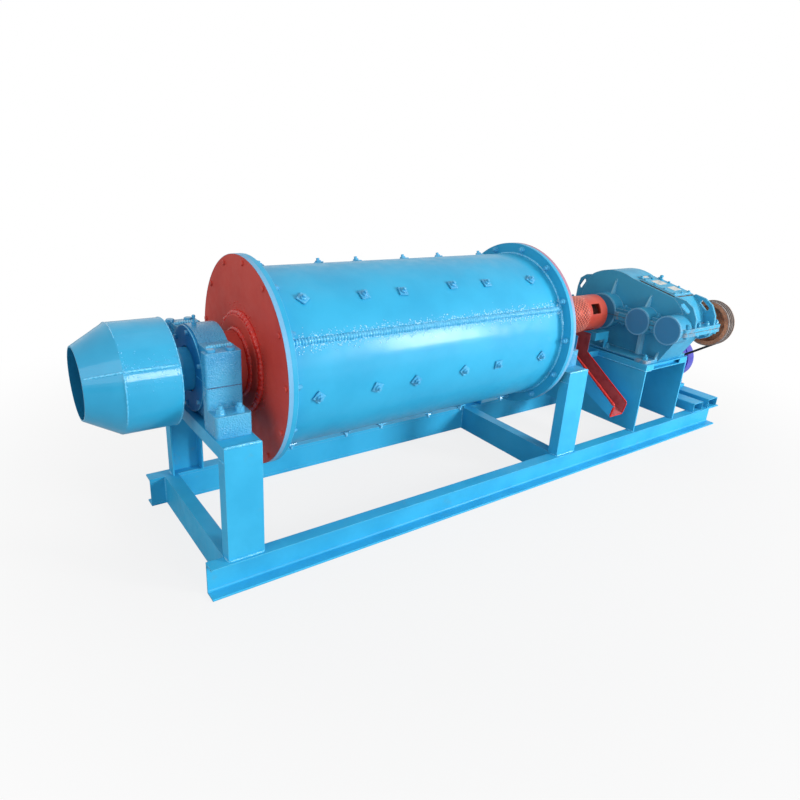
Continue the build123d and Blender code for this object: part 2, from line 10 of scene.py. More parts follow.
import bpy
import numpy as np
from mathutils import Matrix, Vector


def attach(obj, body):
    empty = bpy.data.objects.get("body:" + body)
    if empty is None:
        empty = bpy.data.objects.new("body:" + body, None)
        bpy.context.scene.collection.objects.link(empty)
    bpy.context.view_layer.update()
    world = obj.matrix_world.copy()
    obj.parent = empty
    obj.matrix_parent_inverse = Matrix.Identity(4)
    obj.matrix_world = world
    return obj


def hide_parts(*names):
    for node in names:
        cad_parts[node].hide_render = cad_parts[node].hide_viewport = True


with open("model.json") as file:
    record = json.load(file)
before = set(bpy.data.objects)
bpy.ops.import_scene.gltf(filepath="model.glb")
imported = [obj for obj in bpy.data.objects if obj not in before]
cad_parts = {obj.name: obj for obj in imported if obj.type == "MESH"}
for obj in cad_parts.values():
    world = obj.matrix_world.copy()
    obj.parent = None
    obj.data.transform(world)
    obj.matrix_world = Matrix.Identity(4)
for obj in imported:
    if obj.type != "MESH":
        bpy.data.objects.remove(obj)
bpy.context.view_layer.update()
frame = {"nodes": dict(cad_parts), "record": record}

# Places, in metres, as in the part's source
AXIS_Z = 0.968
RAIL_H = 0.174
RAIL_BACK_Y = 0.451
STAND_FEED_X = 0.058
STAND_DRIVE_X = 2.333
REAR_FEED_SHIFT = 0.036
POST_HALF = 0.090
POST_DEPTH = 0.075
POST_FACE_Y = 0.505
STAND_TOP = 0.757
FOOT_TOP = 0.865
SHOULDER_TOP = 1.130
CROWN_R = 0.215
HOUSING_HALF = 0.085
BLOCK_HALF_Y = 0.310
RECESS = 0.032
COVER_R = 0.210
COVER_T = 0.012
DRUM_X0 = 0.268
DRUM_X1 = 2.203
SHELL_R = 0.464
RIM_R = 0.530
END_PLATE_T = 0.022
RING_T = 0.025
BOSS_R = 0.240
BOSS_T = 0.022
NECK_R = 0.160
JOURNAL_R = 0.105
FEEDER_MOUTH_X = -0.497
FEEDER_MOUTH_R = 0.168
FEEDER_KNEE_X = -0.347
FEEDER_R = 0.256
FEEDER_BACK_X = -0.110
FEEDER_RING_R = 0.126
SLEEVE_X0 = 2.440
SLEEVE_R = 0.133
CHUTE_X0 = 2.828
CHUTE_X1 = 2.978
CHUTE_LIP = (-0.459, 0.325)
CHUTE_RIM = (-0.480, 0.416)
CHUTE_KNEE = (-0.071, 0.681)
PED_X0 = 3.086
PED_X1 = 3.606
PED_HALF_Y = 0.510
PED_PLATE_T = 0.012
PED_PLATE_TOP = 0.645
BASE_X0 = 3.100
BASE_FLANGE_TOP = 0.712
BOX_X0 = 3.240
BOX_X1 = 3.512
SPLIT_X0 = 3.130
SPLIT_X1 = 3.590
SPLIT_Y0 = -0.712
SPLIT_Y1 = 0.335
SPLIT_T = 0.027
PAD_T = 0.052
MID_Y = -0.336
IN_Y = -0.591
LID_FOOT = (-0.508, 1.168)
LID_RISE = 74.0 / 358.0
PULLEY_X1 = 3.690
MOTOR_Z = 0.450
MOTOR_R = 0.170
MOTOR_X0 = 3.768
MOTOR_X1 = 4.262
COWL_R = 0.178
COWL_X1 = 4.368
COWL_EDGE = 0.024
SLOT_DEPTH = 0.006
TUBE_X = (3.877, 4.098)
TUBE_W = 0.135
BASE_TOP = 0.270

# Where the paint changes: inside the feed bearing, and down in the pulley's grooves
INNER_END_X = 0.10
GROOVE_BOTTOM_R = 0.156
GROOVE_TOP_R = 0.161

# The reducer's round end caps, each by y of its shaft, radius and x of its left face; worn spot
CAPS = ((0.0, 0.135, 3.138), (MID_Y, 0.098, 3.122), (IN_Y, 0.102, 3.101))
CAP_RIGHT_X = 3.562
WORN_SPOT = (3.115, -0.470, 0.705)

# The sleeve's crossed scores: radians of their wave to a metre along X, waves round, end in X
SCORE_WAVE = 205.0
SCORE_TURNS = 28
SCORE_END = 2.862
SCORE_STATIONS = 95

rng = np.random.default_rng(7)


# Meshes from grids

def add_mesh(name, points, faces, body, slot, material, crease=35.0):
    """One object at the origin from an array of points and an array of faces."""
    mesh = bpy.data.meshes.new(name)
    mesh.from_pydata(points.tolist(), [], faces)
    mesh.update()
    mesh.polygons.foreach_set("use_smooth", np.ones(len(mesh.polygons), dtype=bool))
    mesh.set_sharp_from_angle(angle=np.radians(crease))
    mesh.materials.append(material)
    obj = bpy.data.objects.new(name, mesh)
    bpy.context.scene.collection.objects.link(obj)
    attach(obj, body)
    return obj


def grid_faces(rows, cols, wrap_rows=False):
    """The quads of a rows by cols grid of points, its columns joined round, and its rows too
    where they wrap."""
    r = np.arange(rows if wrap_rows else rows - 1)
    r, c = np.meshgrid(r, np.arange(cols), indexing="ij")
    r2 = (r + 1) % rows
    c2 = (c + 1) % cols
    quads = np.stack([r * cols + c, r * cols + c2, r2 * cols + c2, r2 * cols + c], axis=-1)
    return quads.reshape(-1, 4)


def full_turn(count):
    """That many even angles round a circle."""
    return np.arange(count) * 2 * np.pi / count


def polygon_radius(angle, sides):
    """Radius of a regular polygon with apothem 1 at each angle; 0 sides is a circle."""
    if sides == 0:
        return np.ones_like(angle)
    step = 2 * np.pi / sides
    folded = (angle + step / 2) % step - step / 2
    return 1 / np.cos(folded)


def turned_stack(stations, count=24):
    """Points of rings stacked along +Z: each station gives a height, a radius and a number of
    sides, and the ring's radius at an angle is that polygon's. Closed to a point at both ends."""
    angle = full_turn(count)
    rings = []
    for height, radius, sides in stations:
        reach = radius * polygon_radius(angle, sides)
        ring = [reach * np.cos(angle), reach * np.sin(angle), np.full(count, height)]
        rings.append(np.column_stack(ring))
    rows = len(stations)
    points = np.vstack([*rings, [0, 0, stations[0][0]], [0, 0, stations[-1][0]]])
    bottom = rows * count
    last = bottom - count
    pairs = [(a, (a + 1) % count) for a in range(count)]
    fans = [[bottom, b, a] for a, b in pairs]
    fans += [[bottom + 1, last + a, last + b] for a, b in pairs]
    return points, grid_faces(rows, count).tolist() + fans


def axes_from(normal, turn=0.0):
    """A 3 by 3 frame whose third column is the normal, turned about it."""
    n = np.asarray(normal, float)
    n = n / np.linalg.norm(n)
    side = np.cross(n, [1.0, 0, 0] if abs(n[0]) < 0.9 else [0, 1.0, 0])
    side /= np.linalg.norm(side)
    up = np.cross(n, side)
    c, s = np.cos(turn), np.sin(turn)
    return np.stack([side * c + up * s, up * c - side * s, n], axis=-1)


def merged(parts):
    """Several point clouds with faces as one."""
    faces = []
    shift = 0
    for points, part_faces in parts:
        faces += [[i + shift for i in face] for face in part_faces]
        shift += len(points)
    return np.concatenate([points for points, _ in parts]), faces


def repeated(shape, places):
    """Copies of one shape at many places; each place is an origin, a normal and a turn."""
    points, faces = shape
    return merged([
        (points @ axes_from(normal, turn).T + np.asarray(at), faces) for at, normal, turn in places
    ])


def seat(half, washer):
    """The first stations under a hexagon of this half width, with a round washer where its
    radius isn't 0, and the height at which the hexagon starts."""
    if not washer:
        return [(-0.002, half * 1.05, 0)], 0.0
    top = 0.0035
    return [(-0.002, washer, 0), (0.003, washer, 0), (top, washer * 0.96, 0)], top


def hex_head(across, height, washer=0.0):
    """A hexagon head with a chamfered top on an optional round washer; the sizes in metres."""
    a = across / 2
    base, low = seat(a, washer)
    top = low + height
    return turned_stack(base + [
        (low, a, 6), (low + height * 0.8, a, 6), (top, a * 0.93, 0), (top, a * 0.5, 0),
    ])


def hex_nut_on_stud(across, height, stud, reach, washer):
    """A hexagon nut on a round washer, with a stud's rounded end standing out of it."""
    a = across / 2
    base, low = seat(a, washer)
    top = low + height
    return turned_stack(base + [
        (low, a, 6), (top - 0.002, a, 6), (top, a * 0.92, 0), (top, stud, 0),
        (top + reach - 0.002, stud, 0), (top + reach, stud * 0.75, 0),
    ])


def plate(width, depth, height, edge=0.001):
    """A flat rectangle with chamfered upper edges: four loops of corners, closed below and above."""
    corners = np.array([[1, 1], [-1, 1], [-1, -1], [1, -1]], float) / 2
    sizes = ((-0.001, 0.0), (height - edge, 0.0), (height, edge))
    loops = [
        np.column_stack([corners * (width - 2 * cut, depth - 2 * cut), np.full(4, z)])
        for z, cut in sizes
    ]
    faces = grid_faces(3, 4).tolist()
    faces.append([3, 2, 1, 0])
    faces.append([8, 9, 10, 11])
    return np.concatenate(loops), faces


def liner_bolt():
    """Square plate washer, thick hexagon nut and the bolt's end, as one stack."""
    return turned_stack([
        (-0.003, 0.012, 0), (0.003, 0.012, 0), (0.003, 0.025, 4), (0.0085, 0.025, 4), (0.0095, 0.024, 4),
        (0.0095, 0.0150, 6), (0.0185, 0.0150, 6), (0.0205, 0.0135, 0), (0.0205, 0.0090, 0),
        (0.0315, 0.0090, 0), (0.0330, 0.0072, 0),
    ])


def around(angle, radius, x):
    """A point on the circle about the drum's axis, or one for each angle; the angle counts from
    the front upwards."""
    angle, x = np.broadcast_arrays(angle, x)
    return np.stack([x, -radius * np.cos(angle), AXIS_Z + radius * np.sin(angle)], axis=-1)


def outward(angle):
    """The outward direction at that angle, or one for each."""
    return np.stack([np.zeros_like(angle), -np.cos(angle), np.sin(angle)], axis=-1)


def smooth_noise(count, scale, closed=False):
    """Random heights from -1 to 1 along a line, eased between one value per scale stations."""
    knots = max(4, int(count / scale) + 1)
    values = rng.uniform(-1, 1, knots)
    if closed:
        values[-1] = values[0]
    t = np.linspace(0, knots - 1, count)
    i = np.minimum(t.astype(int), knots - 2)
    f = t - i
    f = f * f * (3 - 2 * f)
    return values[i] * (1 - f) + values[i + 1] * f


def bead(path, normal, radius, ripple=0.12, pitch=4, closed=False, section=10):
    """A weld bead: a circle carried along the path, its radius swelling with each ripple of the
    weld and with slow noise, and closing to a point at open ends. normal is the direction that
    the bead bulges to at each station."""
    path = np.asarray(path, float)
    normal = np.broadcast_to(np.asarray(normal, float), path.shape)
    n = len(path)
    if closed:
        along = np.roll(path, -1, axis=0) - np.roll(path, 1, axis=0)
    else:
        along = np.gradient(path, axis=0)
    along /= np.linalg.norm(along, axis=1)[:, None]
    side = np.cross(along, normal)
    side /= np.linalg.norm(side, axis=1)[:, None]
    up = np.cross(side, along)
    wave = 1 + ripple * np.abs(np.sin(np.arange(n) * np.pi / pitch))
    wave += 0.18 * smooth_noise(n, 9, closed)
    if not closed:
        ends = np.minimum(np.arange(n), np.arange(n)[::-1]) / 3.0
        wave *= np.sqrt(np.clip(ends, 0.02, 1))
    angle = full_turn(section)
    r = (radius * wave)[:, None, None]
    points = (
        path[:, None, :]
        + r * (np.cos(angle)[None, :, None] * side[:, None, :]
               + np.sin(angle)[None, :, None] * up[:, None, :])
    )
    faces = grid_faces(n, section, wrap_rows=closed).tolist()
    if not closed:
        faces.append(list(range(section))[::-1])
        faces.append([(n - 1) * section + i for i in range(section)])
    return points.reshape(-1, 3), faces


def add_beads(name, beads, body, slot, material):
    """Beads or droplets as one object."""
    add_mesh(name, *merged(beads), body, slot, material, crease=80)


def ring_path(x, radius, count):
    """Stations round the drum's axis, with the outward direction at each."""
    angle = full_turn(count)
    return around(angle, radius, x), outward(angle)


def ring_bead(x, radius, size, count, **ripples):
    """A weld bead of that size all round the drum's axis, its ripples as in bead."""
    path, out = ring_path(x, radius, count)
    return bead(path, out, size, closed=True, **ripples)


def straight(a, b):
    """Stations on a straight line, about one each 4 mm."""
    a = np.asarray(a, float)
    b = np.asarray(b, float)
    n = max(8, int(np.linalg.norm(b - a) / 0.004))
    t = np.linspace(0, 1, n)[:, None]
    return a * (1 - t) + b * t


def rounded_loop(x0, x1, y0, y1, z, corner, count=480):
    """Stations round a rectangle with round corners at one height, and the outward direction
    at each: a point at an even angle on the corner circles, joined by the straight sides."""
    angle = full_turn(count)
    c, s = np.cos(angle), np.sin(angle)
    half_x = (x1 - x0) / 2 - corner
    half_y = (y1 - y0) / 2 - corner
    reach = np.minimum(
        (half_x + corner) / np.maximum(np.abs(c), 1e-6), (half_y + corner) / np.maximum(np.abs(s), 1e-6))
    px, py = reach * c, reach * s
    over_x = np.maximum(np.abs(px) - half_x, 0)
    over_y = np.maximum(np.abs(py) - half_y, 0)
    both = (over_x > 0) & (over_y > 0)
    length = np.hypot(over_x, over_y)
    scale = np.where(both, corner / np.maximum(length, 1e-9), 1.0)
    px = np.where(both, np.sign(px) * (half_x + over_x * scale), px)
    py = np.where(both, np.sign(py) * (half_y + over_y * scale), py)
    path = np.column_stack([(x0 + x1) / 2 + px, (y0 + y1) / 2 + py, np.full(count, z)])
    return path, np.column_stack([c, s, np.zeros(count)])


def on_lid(y, up):
    """The y and z of a place on the reducer's sloping top, up above its surface."""
    run = np.hypot(1, LID_RISE)
    return y - up * LID_RISE / run, LID_FOOT[1] + (y - LID_FOOT[0]) * LID_RISE + up / run


def droplets(centres, normals, low=0.0012, high=0.0032):
    """Weld spatter: a low dome at each centre, of a random size."""
    dome = [(-0.3, 1.0, 0), (0.15, 0.95, 0), (0.5, 0.7, 0), (0.72, 0.35, 0)]
    points, faces = turned_stack(dome, count=8)
    sizes = rng.uniform(low, high, len(centres))
    return merged([
        ((points * size) @ axes_from(normal).T + at, faces)
        for at, normal, size in zip(centres, normals, sizes)
    ])


# Materials

def linear(r, g, b):
    """An sRGB colour, 0 to 255, as scene-linear with an alpha of 1."""
    c = np.array([r, g, b]) / 255.0
    light = np.where(c <= 0.04045, c / 12.92, ((c + 0.055) / 1.055) ** 2.4)
    return (*light.tolist(), 1.0)


def put(tree, value, socket):
    """Links an input to another node's socket, or else sets its value."""
    if isinstance(value, bpy.types.NodeSocket):
        tree.links.new(value, socket)
    else:
        socket.default_value = value


def new_node(tree, kind, values, operation=None):
    """A node in the tree; the values are for its inputs, each called by its name or number."""
    node = tree.nodes.new(kind)
    if operation:
        node.operation = operation
    for key, value in values.items():
        put(tree, value, node.inputs[key])
    return node


class Paint:
    """A material's node tree with short calls for the nodes that the finishes share. Its x, y and
    z are the frame's, in metres."""

    def __init__(self, name):
        """A new material, its shader and its Object coordinates."""
        self.material = bpy.data.materials.new(name)
        self.material.use_nodes = True
        self.tree = self.material.node_tree
        self.shader = self.tree.nodes["Principled BSDF"]
        self.coords = self.tree.nodes.new("ShaderNodeTexCoord").outputs["Object"]
        self.x, self.y, self.z = self.node("ShaderNodeSeparateXYZ", {0: self.coords}).outputs

    def node(self, kind, values, operation=None):
        """A node in this material's tree."""
        return new_node(self.tree, kind, values, operation)

    def noise(self, scale, detail=3.0, rough=0.55):
        """Noise from 0 to 1, scale lumps to a metre."""
        values = {"Scale": scale, "Detail": detail, "Roughness": rough, "Vector": self.coords}
        return self.node("ShaderNodeTexNoise", values).outputs["Fac"]

    def grain(self, scale, cells):
        """The grain that a sand mould leaves: noise and smooth cells, added."""
        node = self.node("ShaderNodeTexVoronoi", {"Scale": cells, "Vector": self.coords})
        node.feature = "SMOOTH_F1"
        return self.maths("ADD", self.noise(scale, 4.0, 0.6), node.outputs["Distance"])

    def ramp(self, value, low, high, a=0.0, b=1.0):
        """Maps low..high of a value to a..b, eased, and held outside."""
        values = {"Value": value, "From Min": low, "From Max": high, "To Min": a, "To Max": b}
        node = self.node("ShaderNodeMapRange", values)
        node.interpolation_type = "SMOOTHSTEP"
        return node.outputs["Result"]

    def clouds(self, low, high, scale, detail=3.0, rough=0.55):
        """Noise, 0 below the low level and 1 above the high one."""
        return self.ramp(self.noise(scale, detail, rough), low, high)

    def maths(self, kind, a, b=0.0):
        """One operation on a and b, or on a alone."""
        return self.node("ShaderNodeMath", {0: a, 1: b}, kind).outputs["Value"]

    def times(self, first, *others):
        """The product of the values."""
        for value in others:
            first = self.maths("MULTIPLY", first, value)
        return first

    def most(self, first, *others):
        """The largest of the values."""
        for value in others:
            first = self.maths("MAXIMUM", first, value)
        return first

    def below(self, value, limit):
        """1 where the value is under the limit, else 0."""
        return self.maths("LESS_THAN", value, limit)

    def above(self, value, limit):
        """1 where the value is over the limit, else 0."""
        return self.maths("GREATER_THAN", value, limit)

    def mix(self, factor, a, b):
        """A colour between a and b."""
        node = self.tree.nodes.new("ShaderNodeMix")
        node.data_type = "RGBA"
        sockets = [s for s in node.inputs if s.type == "RGBA"]
        for socket, value in zip((node.inputs["Factor"], *sockets), (factor, a, b)):
            put(self.tree, value, socket)
        return [s for s in node.outputs if s.type == "RGBA"][0]

    def tint(self, under, colour, share, *masks):
        """A colour over another, at this share where every mask is 1."""
        return self.mix(self.times(*masks, share), under, colour)

    def bump(self, height, strength, distance, under=None):
        """The normal of a height, laid on another normal where one is given."""
        values = {"Height": height, "Strength": strength, "Distance": distance}
        if under is not None:
            values["Normal"] = under
        return self.node("ShaderNodeBump", values).outputs["Normal"]

    def rounded(self, radius):
        """The normal as if the edges had this radius."""
        node = self.node("ShaderNodeBevel", {"Radius": radius})
        node.samples = 4
        return node.outputs["Normal"]

    def edges(self, radius):
        """1 on a sharp edge and 0 on a flat, from how far the rounded normal leans away."""
        flat = self.tree.nodes.new("ShaderNodeNewGeometry").outputs["Normal"]
        values = {0: self.rounded(radius), 1: flat}
        dot = self.node("ShaderNodeVectorMath", values, "DOT_PRODUCT").outputs["Value"]
        return self.ramp(dot, 0.97, 0.86)

    def near_point(self, point):
        """Distance from a point."""
        values = {0: self.coords, 1: point}
        return self.node("ShaderNodeVectorMath", values, "DISTANCE").outputs["Value"]

    def near_axis(self, y0, z0):
        """Distance from a line along X."""
        dy = self.maths("SUBTRACT", self.y, y0)
        dz = self.maths("SUBTRACT", self.z, z0)
        return self.maths("SQRT", self.maths("ADD", self.times(dy, dy), self.times(dz, dz)))

    def finish(self, colour, rough, normal=None, metallic=0.0, coat=0.0, gleam=0.5, clear=0.15):
        """The material, with its shader's inputs set; clear is the roughness of the coat."""
        values = {
            "Base Color": colour, "Roughness": rough, "Metallic": metallic,
            "Specular IOR Level": gleam, "Coat Weight": coat, "Coat Roughness": clear,
        }
        if normal is not None:
            values["Normal"] = normal
        for key, value in values.items():
            put(self.tree, value, self.shader.inputs[key])
        return self.material


def enamel(name, colour, shade, gloss=0.34, lumps=0.0, coat=0.12, dirt=None, edge=0.003,
           inner=None, rim=None, gleam=0.2, clear=0.15, edge_highlight=None):
    """Gloss enamel put on by spray gun: slow drifts of shade, orange peel, small matt scuffs,
    edges as if rounded, and on castings the grain of the sand mould. inner is the colour inside
    the feed bearing and rim a painted highlight on the covers' round edges, with a painted red
    reflection on top of the drive one; the edge colour is a painted highlight on sharp edges."""
    p = Paint(name)
    body = p.mix(p.clouds(0.35, 0.70, 3.0, 4.0), colour, shade)
    if inner is not None:
        body = p.mix(p.below(p.x, INNER_END_X), body, inner)
    # Painted highlight on the covers' round edges, with a painted red reflection on top of the drive
    # cover's edge
    if rim is not None:
        painted_rim_light = p.tint(rim, RED, 0.6, p.ramp(p.x, 2.17, 2.19), p.ramp(p.z, 1.10, 1.30))
        body = p.mix(p.above(p.near_axis(0.0, AXIS_Z), RIM_R - 0.0014), body, painted_rim_light)
    # Painted highlight: sharp edges tinted with the edge colour, as if they caught the light
    if edge_highlight is not None:
        body = p.tint(body, edge_highlight, 0.55, p.edges(edge))
    scuff = p.clouds(0.62, 0.72, 38.0, 6.0, 0.7)
    body = p.tint(body, shade, 0.25, scuff)
    if dirt is not None:
        body = p.tint(body, dirt, 0.22, p.clouds(0.60, 0.78, 9.0, 6.0, 0.65))
    rough = p.ramp(p.noise(14.0, 5.0), 0.3, 0.7, gloss - 0.05, gloss + 0.10)
    rough = p.maths("ADD", rough, p.times(scuff, 0.12))
    normal = p.bump(p.noise(260.0, 2.0), 0.2, 0.0006, p.rounded(edge))
    normal = p.bump(p.noise(6.0, 2.0), 0.2, 0.003, normal)
    if lumps:
        normal = p.bump(p.grain(170.0, 130.0), lumps, 0.003, normal)
        put(p.tree, normal, p.shader.inputs["Coat Normal"])
    return p.finish(body, rough, normal, coat=coat, gleam=gleam, clear=clear)


def weld_enamel(name, colour, shade, rough=0.16, glints=0.7, coat=0.6, gleam=0.6):
    """Thick wet enamel over a weld, with the ripples' glints."""
    p = Paint(name)
    body = p.mix(p.clouds(0.4, 0.6, 70.0, 4.0), colour, shade)
    normal = p.bump(p.noise(210.0, 4.0, 0.7), glints, 0.0025)
    return p.finish(body, rough, normal, coat=coat, gleam=gleam)


MAIN_BLUE = linear(58, 178, 224)
MAIN_SHADE = linear(48, 165, 212)
DRUM_BLUE = linear(48, 168, 212)
DRUM_SHADE = linear(41, 158, 203)
# Pale blue painted on sharp edges as a highlight
EDGE_HIGHLIGHT = linear(150, 212, 238)
CAST_BLUE = linear(76, 172, 214)
CAST_SHADE = linear(50, 144, 194)
COVER_BLUE = linear(42, 148, 202)
COVER_SHADE = linear(35, 128, 184)
BOX_BLUE = linear(64, 164, 202)
BOX_SHADE = linear(54, 144, 184)
CAP_BLUE = linear(52, 126, 172)
# Pale blue painted on round rims as a highlight
RIM_HIGHLIGHT = linear(112, 172, 210)
RED = linear(202, 76, 66)
RED_SHADE = linear(188, 65, 57)
SLEEVE_RED = linear(200, 78, 56)
SLEEVE_SHADE = linear(186, 64, 48)
CHUTE_RED = linear(180, 92, 98)
CHUTE_DARK = linear(158, 74, 82)
RUST = linear(206, 136, 98)
RUST_DARK = linear(158, 102, 76)
DUST = linear(120, 130, 130)
VIOLET = linear(84, 86, 186)
VIOLET_SHADE = linear(62, 62, 156)
BOX_GRIME = linear(150, 128, 116)
# Paler blue painted on the reducer's ribs as light falling on them
BOX_RIB_LIGHT = linear(140, 206, 230)
# Paler blue painted on the reducer's sharp edges as a highlight
BOX_EDGE_HIGHLIGHT = linear(150, 206, 230)
BOX_WORN = linear(160, 158, 162)
BOLT_BLUE = linear(84, 180, 222)
BOLT_SHADE = linear(58, 148, 196)
# Paler blue painted on weld beads as a highlight
WELD_HIGHLIGHT_BLUE = linear(92, 198, 240)
# Dark red painted in the sleeve's scores as shade
SCORE_SHADE = linear(96, 32, 30)
SCORE_GLINT = linear(244, 206, 192)

motor_paint = enamel("motor_enamel", VIOLET, VIOLET_SHADE, 0.38)
bolt_paint = enamel("bolt_enamel", BOLT_BLUE, BOLT_SHADE, 0.22, coat=0.4, edge=0.001)
box_bolt_paint = enamel("reducer_bolt_enamel", BOX_BLUE, BOX_SHADE, 0.32, coat=0.2, edge=0.001)
# Paler than the frame's blue: a painted highlight on the weld beads
blue_weld = weld_enamel("blue_weld_enamel", WELD_HIGHLIGHT_BLUE, MAIN_BLUE)
# Nearly white: painted glints on the spatter droplets
spatter_glint_paint = weld_enamel("spatter_glint_enamel", linear(168, 226, 248), WELD_HIGHLIGHT_BLUE, 0.12, 0.8, 0.8)
red_weld = weld_enamel("red_weld_enamel", linear(216, 44, 30), linear(196, 40, 34), 0.22, 0.4, 0.0, 0.4)
cover_bolt_paint = enamel("cover_bolt_enamel", RED, RED_SHADE, 0.34, coat=0.1, edge=0.001)
joint_paint = weld_enamel("joint_enamel", linear(30, 98, 146), linear(18, 62, 104), 0.3, 0.3, 0.2)


def reducer_finish():
    """Satin blue over castings, with ribs and edges painted paler as highlights, grime on the
    split flange, and one worn spot; the three end caps on each side are darker discs with pale
    rims painted as highlights."""
    p = Paint("reducer_enamel")
    body = p.mix(p.clouds(0.35, 0.70, 3.0, 4.0), BOX_BLUE, BOX_SHADE)
    body = p.tint(body, DUST, 0.20, p.clouds(0.60, 0.80, 9.0, 6.0, 0.65))
    height = p.maths("ABSOLUTE", p.maths("SUBTRACT", p.z, AXIS_Z))
    grime = p.clouds(0.46, 0.66, 26.0, 5.0, 0.65)
    body = p.tint(body, BOX_GRIME, 0.5, p.below(height, SPLIT_T + 0.003), grime)
    discs = []
    rim_highlights = []
    # Painted light: the ribs standing out beyond the end walls are tinted paler, as if lit from above
    # and the left
    lit_ribs = p.times(
        p.most(p.below(p.x, BOX_X0 - 0.006), p.above(p.x, BOX_X1 + 0.006)),
        p.above(p.z, BASE_FLANGE_TOP + 0.003), p.above(height, PAD_T + 0.003))
    for y0, radius, face in CAPS:
        away = p.near_axis(y0, AXIS_Z)
        ends = p.most(p.below(p.x, face + 0.006), p.above(p.x, CAP_RIGHT_X))
        discs.append(p.times(p.below(away, radius - 0.010), ends))
        rim_highlights.append(p.times(p.below(away, radius + 0.001), ends))
        lit_ribs = p.times(lit_ribs, p.above(away, radius + 0.004))
    caps = p.most(*discs)
    # Painted highlight: a pale ring round each end cap
    body = p.tint(body, RIM_HIGHLIGHT, 0.6, p.most(*rim_highlights))
    body = p.tint(body, CAP_BLUE, 0.92, caps)
    body = p.tint(body, BOX_RIB_LIGHT, 0.6, lit_ribs)
    worn = p.ramp(p.near_point(WORN_SPOT), 0.10, 0.03)
    body = p.tint(body, BOX_WORN, 0.7, worn, p.clouds(0.35, 0.55, 30.0, 4.0))
    # Painted highlight on sharp edges
    body = p.tint(body, BOX_EDGE_HIGHLIGHT, 0.75, p.edges(0.007))
    normal = p.bump(caps, 0.6, -0.003, p.rounded(0.006))
    normal = p.bump(p.noise(7.0, 3.0), 0.3, 0.004, normal)
    normal = p.bump(p.grain(130.0, 110.0), 0.22, 0.002, normal)
    rough = p.ramp(p.noise(14.0, 5.0), 0.3, 0.7, 0.38, 0.52)
    return p.finish(body, rough, normal, coat=0.05, gleam=0.22)


def sleeve_finish():
    """Red enamel over a sleeve scored in crossing spirals up to its windows, with painted shade
    in the scores and a painted glint here and there on the ridges between them."""
    p = Paint("sleeve_enamel")
    turn = p.maths("ARCTAN2", p.maths("SUBTRACT", p.z, AXIS_Z), p.y)
    along = p.times(p.x, SCORE_WAVE)
    turns = p.times(turn, SCORE_TURNS)
    one = p.maths("SINE", p.maths("ADD", along, turns))
    two = p.maths("SINE", p.maths("SUBTRACT", along, turns))
    score = p.most(p.ramp(one, 0.2, 0.8), p.ramp(two, 0.2, 0.8))
    lit = p.most(p.ramp(one, -0.7, -1.0), p.ramp(two, -0.7, -1.0))
    part = p.times(p.clouds(0.30, 0.42, 12.0, 2.0), p.ramp(p.x, 2.80, 2.87, 1.0, 0.0))
    reach = p.times(score, part)
    colour = p.mix(p.clouds(0.35, 0.7, 7.0, 4.0), SLEEVE_RED, SLEEVE_SHADE)
    # Painted shade in the scores, and below it a painted glint on the ridges
    colour = p.tint(colour, SCORE_SHADE, 0.8, reach)
    colour = p.tint(colour, SCORE_GLINT, 0.6, lit, part, p.clouds(0.52, 0.62, 40.0, 2.0))
    normal = p.bump(reach, 1.0, -0.004, p.rounded(0.003))
    normal = p.bump(p.noise(240.0, 2.0), 0.25, 0.0006, normal)
    rough = p.ramp(p.noise(20.0, 4.0), 0.3, 0.7, 0.30, 0.44)
    return p.finish(colour, rough, normal, coat=0.25, gleam=0.4)


def chute_finish():
    """Red oxide inside the trough and on its edges, blue enamel on its outer faces."""
    p = Paint("chute_enamel")
    margin = 0.0008
    outer = p.most(p.below(p.x, CHUTE_X0 + margin), p.above(p.x, CHUTE_X1 - margin))
    inside = p.mix(p.clouds(0.4, 0.7, 16.0, 5.0, 0.65), CHUTE_RED, CHUTE_DARK)
    colour = p.mix(outer, inside, linear(60, 186, 240))
    normal = p.bump(p.noise(120.0, 4.0, 0.6), 0.35, 0.0012)
    rough = p.ramp(p.noise(22.0, 4.0), 0.3, 0.7, 0.40, 0.60)
    return p.finish(colour, rough, normal, gleam=0.3)


def steel_finish():
    """Turned steel: fine rings round the shaft and faint stains."""
    p = Paint("turned_steel")
    rings = p.maths("SINE", p.times(p.x, 2600.0))
    stain = p.clouds(0.4, 0.7, 24.0, 5.0)
    colour = p.mix(stain, linear(150, 150, 148), linear(112, 106, 98))
    normal = p.bump(rings, 0.2, 0.0002)
    return p.finish(colour, p.ramp(stain, 0, 1, 0.28, 0.5), normal, metallic=1.0)


def pulley_finish():
    """Rusted cast iron, with the grooves polished grey by the belts."""
    p = Paint("rusted_iron")
    rim = p.ramp(p.near_axis(IN_Y, AXIS_Z), GROOVE_BOTTOM_R, GROOVE_TOP_R)
    rust = p.mix(p.clouds(0.38, 0.66, 22.0, 7.0, 0.7), RUST, RUST_DARK)
    polished = p.mix(p.clouds(0.4, 0.6, 20.0), linear(150, 148, 146), linear(124, 110, 100))
    normal = p.bump(p.noise(160.0, 6.0, 0.7), 0.3, 0.001, p.rounded(0.002))
    return p.finish(p.tint(rust, polished, 0.8, rim), p.ramp(rim, 0, 1, 0.72, 0.45), normal)


def bronze_finish():
    """Plain bearing bronze."""
    p = Paint("bearing_bronze")
    stain = p.clouds(0.4, 0.7, 30.0, 4.0)
    colour = p.mix(stain, linear(176, 136, 84), linear(128, 94, 56))
    return p.finish(colour, p.ramp(stain, 0, 1, 0.3, 0.5), metallic=0.9)


